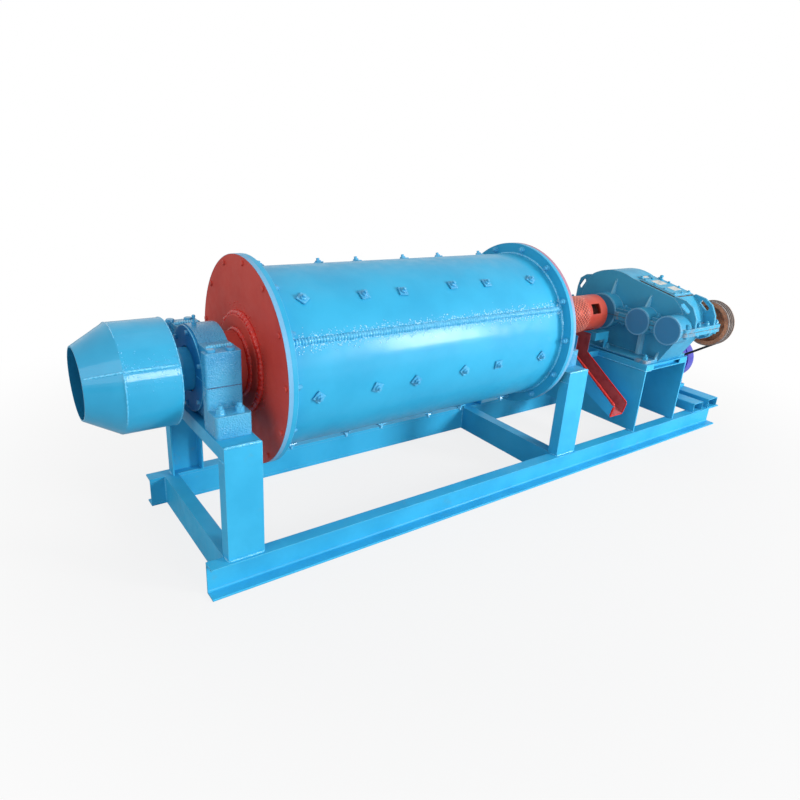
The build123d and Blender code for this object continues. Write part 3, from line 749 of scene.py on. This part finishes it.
def rubber_finish():
    """Belt rubber with dust in its weave."""
    p = Paint("belt_rubber")
    dust = p.clouds(0.45, 0.75, 26.0, 3.0, 0.5)
    colour = p.tint(linear(30, 30, 32), linear(70, 66, 62), 0.25, dust)
    return p.finish(colour, 0.75, p.bump(p.noise(700.0, 2.0), 0.3, 0.0004))


def cowl_finish():
    """Motor enamel, with painted shade, near black, in the depth of the cowl's air slots."""
    p = Paint("cowl_enamel")
    slot_shade = p.times(
        p.below(p.x, COWL_X1 - SLOT_DEPTH / 2), p.above(p.x, COWL_X1 - 2 * SLOT_DEPTH),
        p.below(p.near_axis(0.0, MOTOR_Z), COWL_R - COWL_EDGE))
    body = p.mix(p.clouds(0.35, 0.7, 4.0, 4.0), VIOLET, VIOLET_SHADE)
    # Painted shade: the slot floors near black
    colour = p.mix(slot_shade, body, linear(14, 14, 22))
    return p.finish(colour, 0.4, p.bump(p.noise(260.0, 2.0), 0.2, 0.0006), gleam=0.4)


def plate_finish():
    """A blank aluminium plate with a fine brushed grain."""
    p = Paint("blank_plate")
    streak = p.maths("SINE", p.maths("ADD", p.times(p.y, 4200.0), p.times(p.noise(30.0), 9.0)))
    colour = p.mix(p.clouds(0.4, 0.7, 40.0), linear(214, 214, 208), linear(184, 186, 184))
    return p.finish(colour, 0.38, p.bump(streak, 0.1, 0.0001), metallic=0.5)


def gasket_finish():
    """Oily sealing compound squeezed out at a joint."""
    p = Paint("sealing_compound")
    colour = p.mix(p.clouds(0.4, 0.65, 50.0, 5.0), linear(26, 36, 48), linear(84, 66, 56))
    return p.finish(colour, 0.5, p.bump(p.noise(180.0), 0.5, 0.001))


steel = steel_finish()
cowl_paint = cowl_finish()
# Paler red than the sleeve: a painted highlight on the scoring ridges
score_highlight_paint = enamel("score_highlight_enamel", linear(240, 156, 136), linear(214, 104, 84), 0.24,
                     coat=0.6, edge=0.001)
blank_plate = plate_finish()
gasket = gasket_finish()

FINISH = {
    "frame_blue": enamel("frame_enamel", MAIN_BLUE, MAIN_SHADE, 0.40, coat=0.05, dirt=DUST,
                         edge_highlight=EDGE_HIGHLIGHT),
    "casting_blue": enamel("casting_enamel", CAST_BLUE, CAST_SHADE, 0.28, lumps=0.9, coat=0.6,
                           edge=0.006, edge_highlight=EDGE_HIGHLIGHT),
    "cover_blue": enamel("cover_enamel", COVER_BLUE, COVER_SHADE, 0.5, coat=0.0, gleam=0.1),
    "bush_bronze": bronze_finish(),
    "drum_blue": enamel("drum_enamel", DRUM_BLUE, DRUM_SHADE, 0.42, coat=0.22, edge_highlight=EDGE_HIGHLIGHT),
    "drum_red": enamel("red_enamel", RED, RED_SHADE, 0.46, coat=0.0, inner=MAIN_SHADE,
                       rim=RIM_HIGHLIGHT),
    "feeder_blue": enamel("feeder_enamel", DRUM_BLUE, DRUM_SHADE, 0.36, coat=0.45, clear=0.07),
    "sleeve_red": sleeve_finish(),
    "chute_red": chute_finish(),
    "reducer_blue": reducer_finish(),
    "shaft_steel": steel,
    "pulley_iron": pulley_finish(),
    "belt_rubber": rubber_finish(),
    "motor_blue": motor_paint,
}
slot_of = {part["node"]: part["material_slot"] for part in frame["record"]["subparts"]}
for node_name, node in frame["nodes"].items():
    node.data.materials.clear()
    cowl = node_name == "motor_fan_cowl"
    node.data.materials.append(cowl_paint if cowl else FINISH[slot_of[node_name]])


# Drum

LINER_X = (0.452, 0.793, 1.032, 1.374, 1.630, 1.984)
LINER_ROW0 = np.radians(-8.7)
FLANGE_BOLTS = 13
FLANGE_BOLT_R = 0.500
FLANGE_BOLT_TURN = np.radians(1.8)
SEAM_ANGLE = np.radians(25.3)
SEAM_DROPS = 2400
COVER_DROPS = 220

places = []
for row in range(6):
    row_angle = LINER_ROW0 + row * np.pi / 3
    for x in LINER_X:
        a = row_angle + np.radians(rng.uniform(-0.9, 0.9))
        at = around(a, SHELL_R, x + rng.uniform(-0.006, 0.006))
        places.append((at, outward(a), rng.uniform(0, np.pi)))
add_mesh("liner_bolts", *repeated(liner_bolt(), places), "drum", "drum_blue", bolt_paint)

seam_ends = (DRUM_X0 + END_PLATE_T + RING_T, DRUM_X1 - END_PLATE_T - RING_T)
flange_angles = FLANGE_BOLT_TURN + full_turn(FLANGE_BOLTS)
turns = rng.uniform(0, np.pi, FLANGE_BOLTS)
cover_heads = []
ring_nuts = []
for cover_x, ring_x, way in zip((DRUM_X0, DRUM_X1), seam_ends, (-1, 1)):
    for a, t in zip(flange_angles, turns):
        cover_heads.append((around(a, FLANGE_BOLT_R, cover_x), (way, 0, 0), t))
        ring_nuts.append((around(a, FLANGE_BOLT_R, ring_x), (-way, 0, 0), t))
add_mesh("cover_bolt_heads", *repeated(hex_head(0.024, 0.009), cover_heads),
         "drum", "drum_red", cover_bolt_paint)
add_mesh("ring_nuts", *repeated(hex_nut_on_stud(0.030, 0.016, 0.010, 0.012, 0.018), ring_nuts),
         "drum", "drum_blue", bolt_paint)

seam_path = straight(*[around(SEAM_ANGLE, SHELL_R - 0.001, x) for x in seam_ends])
beads = [bead(seam_path, outward(SEAM_ANGLE), 0.0115, ripple=0.6)]
beads += [ring_bead(x, SHELL_R + 0.001, 0.0075, 720, ripple=0.2) for x in seam_ends]
add_beads("shell_welds", beads, "drum", "drum_blue", blue_weld)

xs = rng.uniform(*seam_ends, SEAM_DROPS)
angles = SEAM_ANGLE + rng.normal(0, 0.021, SEAM_DROPS) / SHELL_R
drops = droplets(around(angles, SHELL_R, xs), outward(angles), 0.0014, 0.0046)
add_beads("shell_spatter", [drops], "drum", "drum_blue", spatter_glint_paint)

red_beads = [
    ring_bead(x, radius, size, 360, ripple=0.14, pitch=6) for x, radius, size in (
        (DRUM_X0 - 0.001, BOSS_R + 0.002, 0.0180), (DRUM_X0 - BOSS_T, NECK_R + 0.002, 0.0145),
        (DRUM_X1 + 0.001, BOSS_R + 0.002, 0.011), (DRUM_X1 + BOSS_T, NECK_R + 0.002, 0.006),
        (SLEEVE_X0 + 0.006, SLEEVE_R, 0.004),
    )
]
add_beads("cover_welds", red_beads, "drum", "drum_red", red_weld)

angles = rng.uniform(0, 2 * np.pi, COVER_DROPS)
radii = BOSS_R + np.abs(rng.normal(0.018, 0.024, COVER_DROPS))
drops = droplets(around(angles, radii, DRUM_X0), [(-1, 0, 0)] * COVER_DROPS, 0.0015, 0.004)
add_beads("cover_spatter", [drops], "drum", "drum_red", red_weld)


# Feeder

FEEDER_SEAM = np.radians(24)
FEEDER_STATIONS = 300
FEEDER_DROPS = 180
KNEE_DROPS = 60

feeder_beads = [
    ring_bead(x, radius, size, FEEDER_STATIONS, ripple=0.25) for x, radius, size in (
        (FEEDER_BACK_X, FEEDER_R - 0.001, 0.0028),
        (FEEDER_BACK_X + 0.001, FEEDER_RING_R + 0.001, 0.006),
        (FEEDER_BACK_X + 0.022, JOURNAL_R + 0.002, 0.006),
    )
]
path, out = ring_path(FEEDER_KNEE_X, FEEDER_R - 0.001, FEEDER_STATIONS)
for first, last, size in ((-36, 26, 0.0034), (60, 290, 0.0022)):
    arc = np.arange(first * FEEDER_STATIONS // 360, last * FEEDER_STATIONS // 360) % FEEDER_STATIONS
    feeder_beads.append(bead(path[arc], out[arc], size, ripple=0.35))
mouth = around(FEEDER_SEAM, FEEDER_MOUTH_R, FEEDER_MOUTH_X + 0.004)
knee = around(FEEDER_SEAM, FEEDER_R, FEEDER_KNEE_X)
rear = around(FEEDER_SEAM, FEEDER_R, FEEDER_BACK_X)
for a, b, size in ((knee, rear, 0.0055), (mouth, knee, 0.0045)):
    feeder_beads.append(bead(straight(a, b), outward(FEEDER_SEAM), size, ripple=0.35))
add_beads("feeder_welds", feeder_beads, "drum", "feeder_blue", blue_weld)

angles = FEEDER_SEAM + rng.normal(0, 0.16, FEEDER_DROPS)
xs = rng.uniform(FEEDER_KNEE_X, FEEDER_BACK_X, FEEDER_DROPS)
xs[-KNEE_DROPS:] = FEEDER_KNEE_X + np.abs(rng.normal(0, 0.014, KNEE_DROPS))
drops = droplets(around(angles, FEEDER_R, xs), outward(angles))
add_beads("feeder_spatter", [drops], "drum", "feeder_blue", blue_weld)


# Bearings

FOOT_BOLT_Y = 0.372
SHOULDER_BOLT_Y = 0.284
COVER_BOLT_R = 0.190
CROWN_FOOT_Y = 0.222

foot_bolts = []
shoulder_bolts = []
cover_bolts = []
joint_lines = []
cover_lines = []
for stand_x, out_side in ((STAND_FEED_X, -1), (STAND_DRIVE_X, 1)):
    left, right = stand_x - HOUSING_HALF, stand_x + HOUSING_HALF
    for side in (-1, 1):
        for x in (stand_x - 0.050, stand_x + 0.042):
            foot_bolts.append(((x, side * FOOT_BOLT_Y, FOOT_TOP), (0, 0, 1), rng.uniform(0, 1)))
            at = (x, side * SHOULDER_BOLT_Y, SHOULDER_TOP)
            shoulder_bolts.append((at, (0, 0, 1), rng.uniform(0, 1)))
        y = side * BLOCK_HALF_Y
        joint = straight((left, y, AXIS_Z), (right, y, AXIS_Z))
        joint_lines.append(bead(joint, (0, side, 0), 0.0022, ripple=0.3, section=6))
    face = stand_x + out_side * (HOUSING_HALF - RECESS + COVER_T)
    for side in (-1, 1):
        y0, y1 = side * (JOURNAL_R + 0.008), side * (COVER_R - 0.002)
        joint = straight((face, y0, AXIS_Z), (face, y1, AXIS_Z))
        cover_lines.append(bead(joint, (out_side, 0, 0), 0.0026, ripple=0.2, section=6))
    x = face - out_side * 0.001
    cover_lines.append(ring_bead(x, COVER_R - 0.001, 0.0022, 200, ripple=0.1, section=6))
    for a in np.radians(20 + 60 * np.arange(6)):
        cover_bolts.append((around(a, COVER_BOLT_R, face), (out_side, 0, 0), rng.uniform(0, 1)))
add_mesh("foot_bolts", *repeated(hex_nut_on_stud(0.036, 0.022, 0.012, 0.016, 0.023), foot_bolts),
         "frame", "casting_blue", bolt_paint)
add_mesh("shoulder_bolts", *repeated(hex_head(0.038, 0.013), shoulder_bolts),
         "frame", "casting_blue", bolt_paint)
add_mesh("bearing_cover_bolts", *repeated(hex_head(0.020, 0.009, 0.012), cover_bolts),
         "frame", "cover_blue", bolt_paint)
add_beads("bearing_joints", joint_lines, "frame", "casting_blue", joint_paint)
# The cover's split and rim lines are beads in the paler weld blue, a painted highlight
add_beads("bearing_cover_edges", cover_lines, "frame", "cover_blue", blue_weld)
nipple = turned_stack([
    (-0.004, 0.011, 6), (0.012, 0.011, 6), (0.013, 0.006, 0), (0.028, 0.005, 0), (0.032, 0.0085, 0),
    (0.042, 0.0085, 0), (0.046, 0.004, 0),
])
nipples = [((x - 0.022, 0.0, AXIS_Z + CROWN_R), (0.0, 0, 1), 0.3) for x in (STAND_FEED_X, STAND_DRIVE_X)]
add_mesh("grease_nipples", *repeated(nipple, nipples), "frame", "casting_blue", bolt_paint)

drips = []
for stand_x in (STAND_FEED_X, STAND_DRIVE_X):
    for y in (-CROWN_FOOT_Y, CROWN_FOOT_Y):
        line = straight((stand_x - HOUSING_HALF + 0.034, y, SHOULDER_TOP),
                        (stand_x + HOUSING_HALF - 0.002, y, SHOULDER_TOP))
        drips.append(bead(line, (0, 0, 1), 0.009, ripple=0.5, pitch=3))
# Beads at the crown's foot in the paler weld blue, a painted highlight
add_beads("crown_fillets", drips, "frame", "casting_blue", blue_weld)


# Welds of the frame

BEAM_FLANGE_Z = STAND_TOP - 0.070
TUBE_HALF_Y = 0.515
CROSS_WEB_X = (-0.038, 2.248)
CROSS_WEB_T = 0.008
BRACKET_Z = 0.840

frame_beads = []


def run(a, b, normal, radius=0.005):
    """One straight weld from a to b."""
    frame_beads.append(bead(straight(a, b), normal, radius, ripple=0.3))


for stand_x in (STAND_FEED_X, STAND_DRIVE_X):
    for side in (-1, 1):
        x = stand_x + (REAR_FEED_SHIFT if (stand_x, side) == (STAND_FEED_X, 1) else 0.0)
        face_y = side * POST_FACE_Y
        inner_y = side * (POST_FACE_Y - POST_DEPTH)
        run((x - POST_HALF, face_y, RAIL_H), (x + POST_HALF, face_y, RAIL_H), (0, side, 1), 0.006)
        for end in (-1, 1):
            edge_x = x + end * POST_HALF
            run((edge_x, face_y, RAIL_H), (edge_x, side * RAIL_BACK_Y, RAIL_H), (end, 0, 1))
            run((edge_x, face_y, BEAM_FLANGE_Z), (edge_x, inner_y, BEAM_FLANGE_Z), (end, 0, -1), 0.004)
        y = face_y - side * 0.004
        run((stand_x - POST_HALF, y, STAND_TOP), (x + POST_HALF, y, STAND_TOP), (0, 0, 1), 0.0065)
for x, out_x in ((PED_X0, -1), (PED_X1, 1)):
    run((x, -PED_HALF_Y, PED_PLATE_TOP), (x, PED_HALF_Y, PED_PLATE_TOP), (out_x, 0, 0), 0.004)
    inner_x = x - out_x * PED_PLATE_T
    for side in (-1, 1):
        for plate_x, way in ((x, out_x), (inner_x, -out_x)):
            run((plate_x, side * PED_HALF_Y, RAIL_H), (plate_x, side * RAIL_BACK_Y, RAIL_H), (way, 0, 1))
for y in (-PED_HALF_Y, PED_HALF_Y):
    run((PED_X0, y, PED_PLATE_TOP), (PED_X0 + 0.07, y, PED_PLATE_TOP), (0, np.sign(y), 0), 0.004)
for tube_x in TUBE_X:
    for edge_x, way in ((tube_x, -1), (tube_x + TUBE_W, 1)):
        for side in (-1, 1):
            run((edge_x, side * TUBE_HALF_Y, RAIL_H), (edge_x, side * RAIL_BACK_Y, RAIL_H), (way, 0, 1))
for web_x in CROSS_WEB_X:
    for side in (-1, 1):
        y = side * RAIL_BACK_Y
        run((web_x, y, 0.006), (web_x, y, RAIL_H - 0.004), (-1, -side, 0), 0.004)
        back_x = web_x + CROSS_WEB_T
        run((back_x, y, 0.014), (back_x, y, RAIL_H - 0.014), (1, -side, 0), 0.004)
run((CHUTE_X1, -0.116, BRACKET_Z), (CHUTE_X1, -0.062, BRACKET_Z), (1, 0, 1), 0.003)
run((BASE_X0, -0.113, BASE_FLANGE_TOP), (BASE_X0 + 0.042, -0.113, BASE_FLANGE_TOP), (0, -1, 1), 0.003)
add_beads("frame_welds", frame_beads, "frame", "frame_blue", blue_weld)


# Chute edges

def chute_line(a, b, x, radius):
    """A rolled edge along the trough's side."""
    return bead(straight((x, *a), (x, *b)), (0, -0.5, 0.8), radius, ripple=0.15)


edges = []
for x, radius in ((CHUTE_X0 + 0.005, 0.0095), (CHUTE_X1 - 0.003, 0.0050)):
    edges.append(chute_line(CHUTE_KNEE, CHUTE_RIM, x, radius))
    edges.append(chute_line(CHUTE_RIM, CHUTE_LIP, x, radius * 0.8))
lip = straight((CHUTE_X0, *CHUTE_LIP), (CHUTE_X1, *CHUTE_LIP))
edges.append(bead(lip, (0, -1, 0), 0.0045, ripple=0.1))
add_beads("chute_edges", edges, "frame", "chute_red", red_weld)


# Reducer

LID_PLATE_UP = 0.015
LID_STRIP_UP = 0.009
LID_X0 = 3.260
LID_X1 = 3.490
LID_Y0 = -0.503
LID_Y1 = -0.203


def add_box_bolts(name, shape, places):
    """Copies of a bolt on the reducer, in its own enamel."""
    add_mesh(name, *repeated(shape, places), "frame", "reducer_blue", box_bolt_paint)


split_spots = [(x, y, SPLIT_T) for x in (3.185, 3.325, 3.430, 3.552)
               for y in (SPLIT_Y0 + 0.024, SPLIT_Y1 - 0.022)]
split_spots += [(x, y, PAD_T) for x in (3.178, 3.534) for y in (-0.463, -0.186, 0.175)]
bolts_up = []
bolts_down = []
for x, y, half in split_spots:
    bolts_up.append(((x, y, AXIS_Z + half), (0, 0, 1), rng.uniform(0, 1)))
    bolts_down.append(((x, y, AXIS_Z - half), (0, 0, -1), rng.uniform(0, 1)))
add_box_bolts("split_nuts", hex_nut_on_stud(0.028, 0.017, 0.009, 0.010, 0.017), bolts_up)
add_box_bolts("split_bolt_heads", hex_head(0.028, 0.014, 0.017), bolts_down)
base_bolts = [((x, y, BASE_FLANGE_TOP), (0, 0, 1), rng.uniform(0, 1))
              for x in (3.135, 3.568) for y in (-0.452, -0.120, 0.252)]
add_box_bolts("base_bolts", hex_nut_on_stud(0.034, 0.020, 0.011, 0.014, 0.024), base_bolts)

slope_normal = (0, -LID_RISE, 1)
lid_spots = [(x, y) for x in (3.285, 3.465) for y in (-0.478, -0.395, -0.311, -0.228)]
lid_spots += [(3.375, -0.478), (3.375, -0.228)]
lid_bolts = [((x, *on_lid(y, LID_PLATE_UP)), slope_normal, rng.uniform(0, 1)) for x, y in lid_spots]
lid_bolts += [((x, *on_lid(-0.174, LID_STRIP_UP)), slope_normal, 0.2) for x in (3.322, 3.420)]
add_box_bolts("lid_bolts", hex_head(0.015, 0.007, 0.010), lid_bolts)

front, rear = on_lid(LID_Y0, 0.001), on_lid(LID_Y1, 0.001)
corners = [(LID_X0, *front), (LID_X1, *front), (LID_X1, *rear), (LID_X0, *rear)]
compound = [bead(straight(corners[k], corners[(k + 1) % 4]), slope_normal, 0.0045, ripple=0.4)
            for k in range(4)]
path, out = rounded_loop(SPLIT_X0, SPLIT_X1, SPLIT_Y0, SPLIT_Y1, AXIS_Z, 0.025)
compound.append(bead(path, out, 0.0016, closed=True, section=6))
add_beads("sealing_compound", compound, "frame", "reducer_blue", gasket)

plates = [repeated(plate(w, d, 0.0018, 0.0006), [((x, *on_lid(y, up)), slope_normal, turn)])
          for w, d, x, y, up, turn in (
              (0.075, 0.105, 3.368, -0.292, LID_PLATE_UP, 0.0),
              (0.062, 0.092, 3.392, -0.405, LID_PLATE_UP, 0.04),
              (0.024, 0.062, 3.368, -0.174, LID_STRIP_UP, 0.0))]
add_mesh("blank_plates", *merged(plates), "frame", "reducer_blue", blank_plate, crease=20)

breather = turned_stack([
    (-0.003, 0.011, 6), (0.010, 0.011, 6), (0.011, 0.007, 0), (0.018, 0.007, 0), (0.020, 0.013, 0),
    (0.031, 0.013, 0), (0.035, 0.009, 0),
])
add_box_bolts("breather", breather, [((3.448, *on_lid(-0.255, LID_PLATE_UP)), (0, 0, 1), 0.0)])
plug_places = [((3.376, 0.262, 0.760), (0, 1, 0), 0.2), ((3.376, 0.268, 0.860), (0, 1, 0), 0.5)]
add_box_bolts("oil_plugs", hex_head(0.030, 0.014, 0.021), plug_places)


# Pulley

key = repeated(plate(0.012, 0.016, 0.006), [((PULLEY_X1, IN_Y, AXIS_Z + 0.032), (1, 0, 0), 0.0)])
end_washer = turned_stack([
    (0.0, 0.022, 0), (0.005, 0.022, 0), (0.005, 0.012, 6), (0.016, 0.012, 6), (0.017, 0.009, 0),
])
end_bolt = repeated(end_washer, [((3.700, IN_Y, AXIS_Z), (1, 0, 0), 0.0)])
add_mesh("pulley_key", *merged([key, end_bolt]), "pulley", "shaft_steel", steel)


# Motor

FINS = 40
FACE_BOLT_R = 0.158
TERMINAL_X = 4.030

middle = np.array([(MOTOR_X0 + MOTOR_X1) / 2 + 0.012, 0.0, MOTOR_Z])
fins = [(middle + out * (MOTOR_R - 0.001), out, 0.0)
        for out in outward(full_turn(FINS)) if -0.55 <= out[2] <= 0.82]
add_mesh("motor_fins", *repeated(plate(0.005, 0.440, 0.013, 0.0015), fins),
         "frame", "motor_blue", motor_paint, crease=20)
motor_bolts = [((x, y, BASE_TOP + 0.024), (0, 0, 1), rng.uniform(0, 1))
               for x in (3.905, 4.205) for y in (-0.168, 0.168)]
face_middle = np.array([MOTOR_X0 - 0.014, 0.0, MOTOR_Z])
motor_bolts += [(face_middle + FACE_BOLT_R * outward(a), (-1, 0, 0), 0.3)
                for a in np.radians([45, 135, 225, 315])]
motor_bolts += [((x, y, MOTOR_Z + MOTOR_R + 0.070), (0, 0, 1), 0.1)
                for x in (3.965, 4.095) for y in (-0.060, 0.060)]
add_mesh("motor_bolts", *repeated(hex_head(0.022, 0.012, 0.015), motor_bolts),
         "frame", "motor_blue", motor_paint)
lid_place = ((TERMINAL_X, 0.0, MOTOR_Z + MOTOR_R + 0.062), (0, 0, 1), np.pi / 2)
box_lid = repeated(plate(0.158, 0.168, 0.008, 0.002), [lid_place])
gland = turned_stack([
    (-0.003, 0.017, 6), (0.012, 0.017, 6), (0.013, 0.012, 0), (0.024, 0.012, 0), (0.026, 0.006, 0),
])
gland_place = ((TERMINAL_X, -0.075, MOTOR_Z + MOTOR_R + 0.025), (0, -1, 0), 0.0)
add_mesh("terminal_box", *merged([box_lid, repeated(gland, [gland_place])]),
         "frame", "motor_blue", motor_paint, crease=20)


# The scored sleeve and the slotted cowl

SLOT_RINGS = 7
SLOT_W = 0.0058
SLOT_WALL = 0.0006
SLOT_SECTORS = 8
SPOKE_SHARE = 0.075


def cowl_shell():
    """A cowl turned about the motor's axis: rows of one radius, columns of one angle. Its end
    face sinks by the slot depth where a row lies in a ring and a column lies clear of a spoke."""
    ring_starts = 0.034 + 0.015 * np.arange(SLOT_RINGS)
    across = np.array([0, SLOT_WALL, SLOT_WALL + SLOT_W, 2 * SLOT_WALL + SLOT_W])
    face = np.concatenate([[0.012], (ring_starts[:, None] + across).ravel()])
    turn = np.linspace(0, np.pi / 2, 7)
    radius = np.concatenate([
        face, COWL_R - COWL_EDGE + COWL_EDGE * np.sin(turn), [COWL_R, COWL_R, COWL_R - 0.012]])
    x = np.concatenate([
        np.full(len(face), COWL_X1), COWL_X1 - COWL_EDGE + COWL_EDGE * np.cos(turn),
        [MOTOR_X1 + 0.001, MOTOR_X1, MOTOR_X1]])
    in_ring = np.zeros(len(radius), bool)
    in_ring[1:len(face)] = np.tile([False, True, True, False], SLOT_RINGS)
    share = np.concatenate([
        [0, 0.03, 0.06, SPOKE_SHARE], np.linspace(0.15, 0.85, 8), [1 - SPOKE_SHARE, 0.94, 0.97]])
    in_gap = (share >= SPOKE_SHARE) & (share <= 1 - SPOKE_SHARE)
    angle = (np.arange(SLOT_SECTORS)[:, None] + share).ravel() * 2 * np.pi / SLOT_SECTORS
    depth = SLOT_DEPTH * (in_ring[:, None] & np.tile(in_gap, SLOT_SECTORS)[None, :])
    rows, cols = len(radius), len(angle)
    points = np.stack([
        x[:, None] - depth,
        radius[:, None] * np.cos(angle),
        MOTOR_Z + radius[:, None] * np.sin(angle),
    ], axis=-1).reshape(-1, 3)
    front = list(range(cols))
    back = [(rows - 1) * cols + c for c in range(cols)][::-1]
    faces = grid_faces(rows, cols)[:, ::-1].tolist() + [front, back]
    return points, faces


score_x = np.linspace(SLEEVE_X0 + 0.012, SCORE_END, SCORE_STATIONS)
ridges = []
for k in range(SCORE_TURNS):
    for way in (-1, 1):
        from_rear = way * (SCORE_WAVE * score_x + (0.5 - 2 * k) * np.pi) / SCORE_TURNS
        angle = np.pi - from_rear
        path = around(angle, SLEEVE_R, score_x)
        ridges.append(bead(path, outward(angle), 0.0016, ripple=0.3, pitch=3, section=6))
add_mesh("sleeve_scoring", *merged(ridges), "drum", "sleeve_red", score_highlight_paint)
cowl_piece = add_mesh("slotted_fan_cowl", *cowl_shell(), "frame", "motor_blue", cowl_paint)
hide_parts("motor_fan_cowl")


# Camera, fitted to the photograph

CAMERA_AT = Vector((-1.1700 + DRUM_X0, -2.8916, 1.9967))
CAMERA_RIGHT = Vector((0.8103, -0.5827, 0.0613))
CAMERA_UP = Vector((0.1678, 0.3310, 0.9286))
CAMERA_LENS = 28.27

camera = bpy.data.objects.new("camera", bpy.data.cameras.new("camera"))
bpy.context.scene.collection.objects.link(camera)
back = CAMERA_RIGHT.cross(CAMERA_UP).normalized()
up = back.cross(CAMERA_RIGHT).normalized()
right = up.cross(back)
turn = Matrix((right, up, back)).transposed()
camera.matrix_world = Matrix.Translation(CAMERA_AT) @ turn.to_4x4()
camera.data.sensor_width = 36.0
camera.data.lens = CAMERA_LENS
camera.data.clip_end = 200.0
bpy.context.scene.camera = camera


# Floor, world and lamps

def floor_finish():
    """A pale matt that keeps the shadow and, for the camera, fades to white further out."""
    p = Paint("pale_floor")
    fade = p.ramp(p.near_point((1.9, 0, 0)), 1.8, 4.4, 0.82)
    seen = p.times(fade, p.node("ShaderNodeLightPath", {}).outputs["Is Camera Ray"])
    matt = p.node("ShaderNodeBsdfDiffuse", {"Color": (0.58, 0.58, 0.58, 1)}).outputs[0]
    white = p.node("ShaderNodeEmission", {"Strength": 1.0}).outputs[0]
    blend = p.node("ShaderNodeMixShader", {"Fac": seen, 1: matt, 2: white}).outputs[0]
    put(p.tree, blend, p.tree.nodes["Material Output"].inputs["Surface"])
    return p.material


def floor_and_world():
    """A floor just under the machine, in a world that is white to the camera and in reflections
    and dimmer where it lights the object."""
    size = 60.0
    corners = [(-size, -size), (size, -size), (size, size), (-size, size)]
    mesh = bpy.data.meshes.new("floor")
    mesh.from_pydata([(x, y, -0.0005) for x, y in corners], [], [[0, 1, 2, 3]])
    mesh.materials.append(floor_finish())
    floor = bpy.data.objects.new("floor", mesh)
    bpy.context.scene.collection.objects.link(floor)

    world = bpy.data.worlds.new("studio")
    bpy.context.scene.world = world
    world.use_nodes = True
    tree = world.node_tree
    rays = tree.nodes.new("ShaderNodeLightPath").outputs
    seen = rays["Is Camera Ray"]
    for kind in ("Is Glossy Ray", "Is Transmission Ray"):
        seen = new_node(tree, "ShaderNodeMath", {0: seen, 1: rays[kind]}, "MAXIMUM").outputs[0]
    mix = new_node(tree, "ShaderNodeMix", {"Factor": seen, "A": WORLD_LIGHT, "B": 1.0})
    sky = tree.nodes["Background"]
    sky.inputs["Color"].default_value = (1, 1, 1, 1)
    put(tree, mix.outputs["Result"], sky.inputs["Strength"])


def soft_lamp(name, at, target, width, height, power):
    """A rectangular studio lamp aimed at a point."""
    data = bpy.data.lights.new(name, "AREA")
    data.shape = "RECTANGLE"
    data.size = width
    data.size_y = height
    data.energy = power
    lamp = bpy.data.objects.new(name, data)
    bpy.context.scene.collection.objects.link(lamp)
    lamp.location = at
    lamp.rotation_mode = "QUATERNION"
    lamp.rotation_quaternion = (Vector(target) - Vector(at)).to_track_quat("-Z", "Y")


WORLD_LIGHT = 0.50
floor_and_world()
soft_lamp("key", (6.5, -7.0, 2.9), (1.8, 0, 0.8), 1.9, 2.4, 620)
soft_lamp("feeder", (1.5, -7.0, 2.9), (0.6, 0, 0.8), 1.2, 1.6, 110)
soft_lamp("top", (1.6, 0.5, 7.0), (1.8, 0, 0.8), 5.0, 4.0, 30)
soft_lamp("left", (-4.6, -1.8, 3.0), (1.5, 0, 0.7), 4.0, 3.0, 88)

bpy.context.scene.view_settings.view_transform = "Standard"
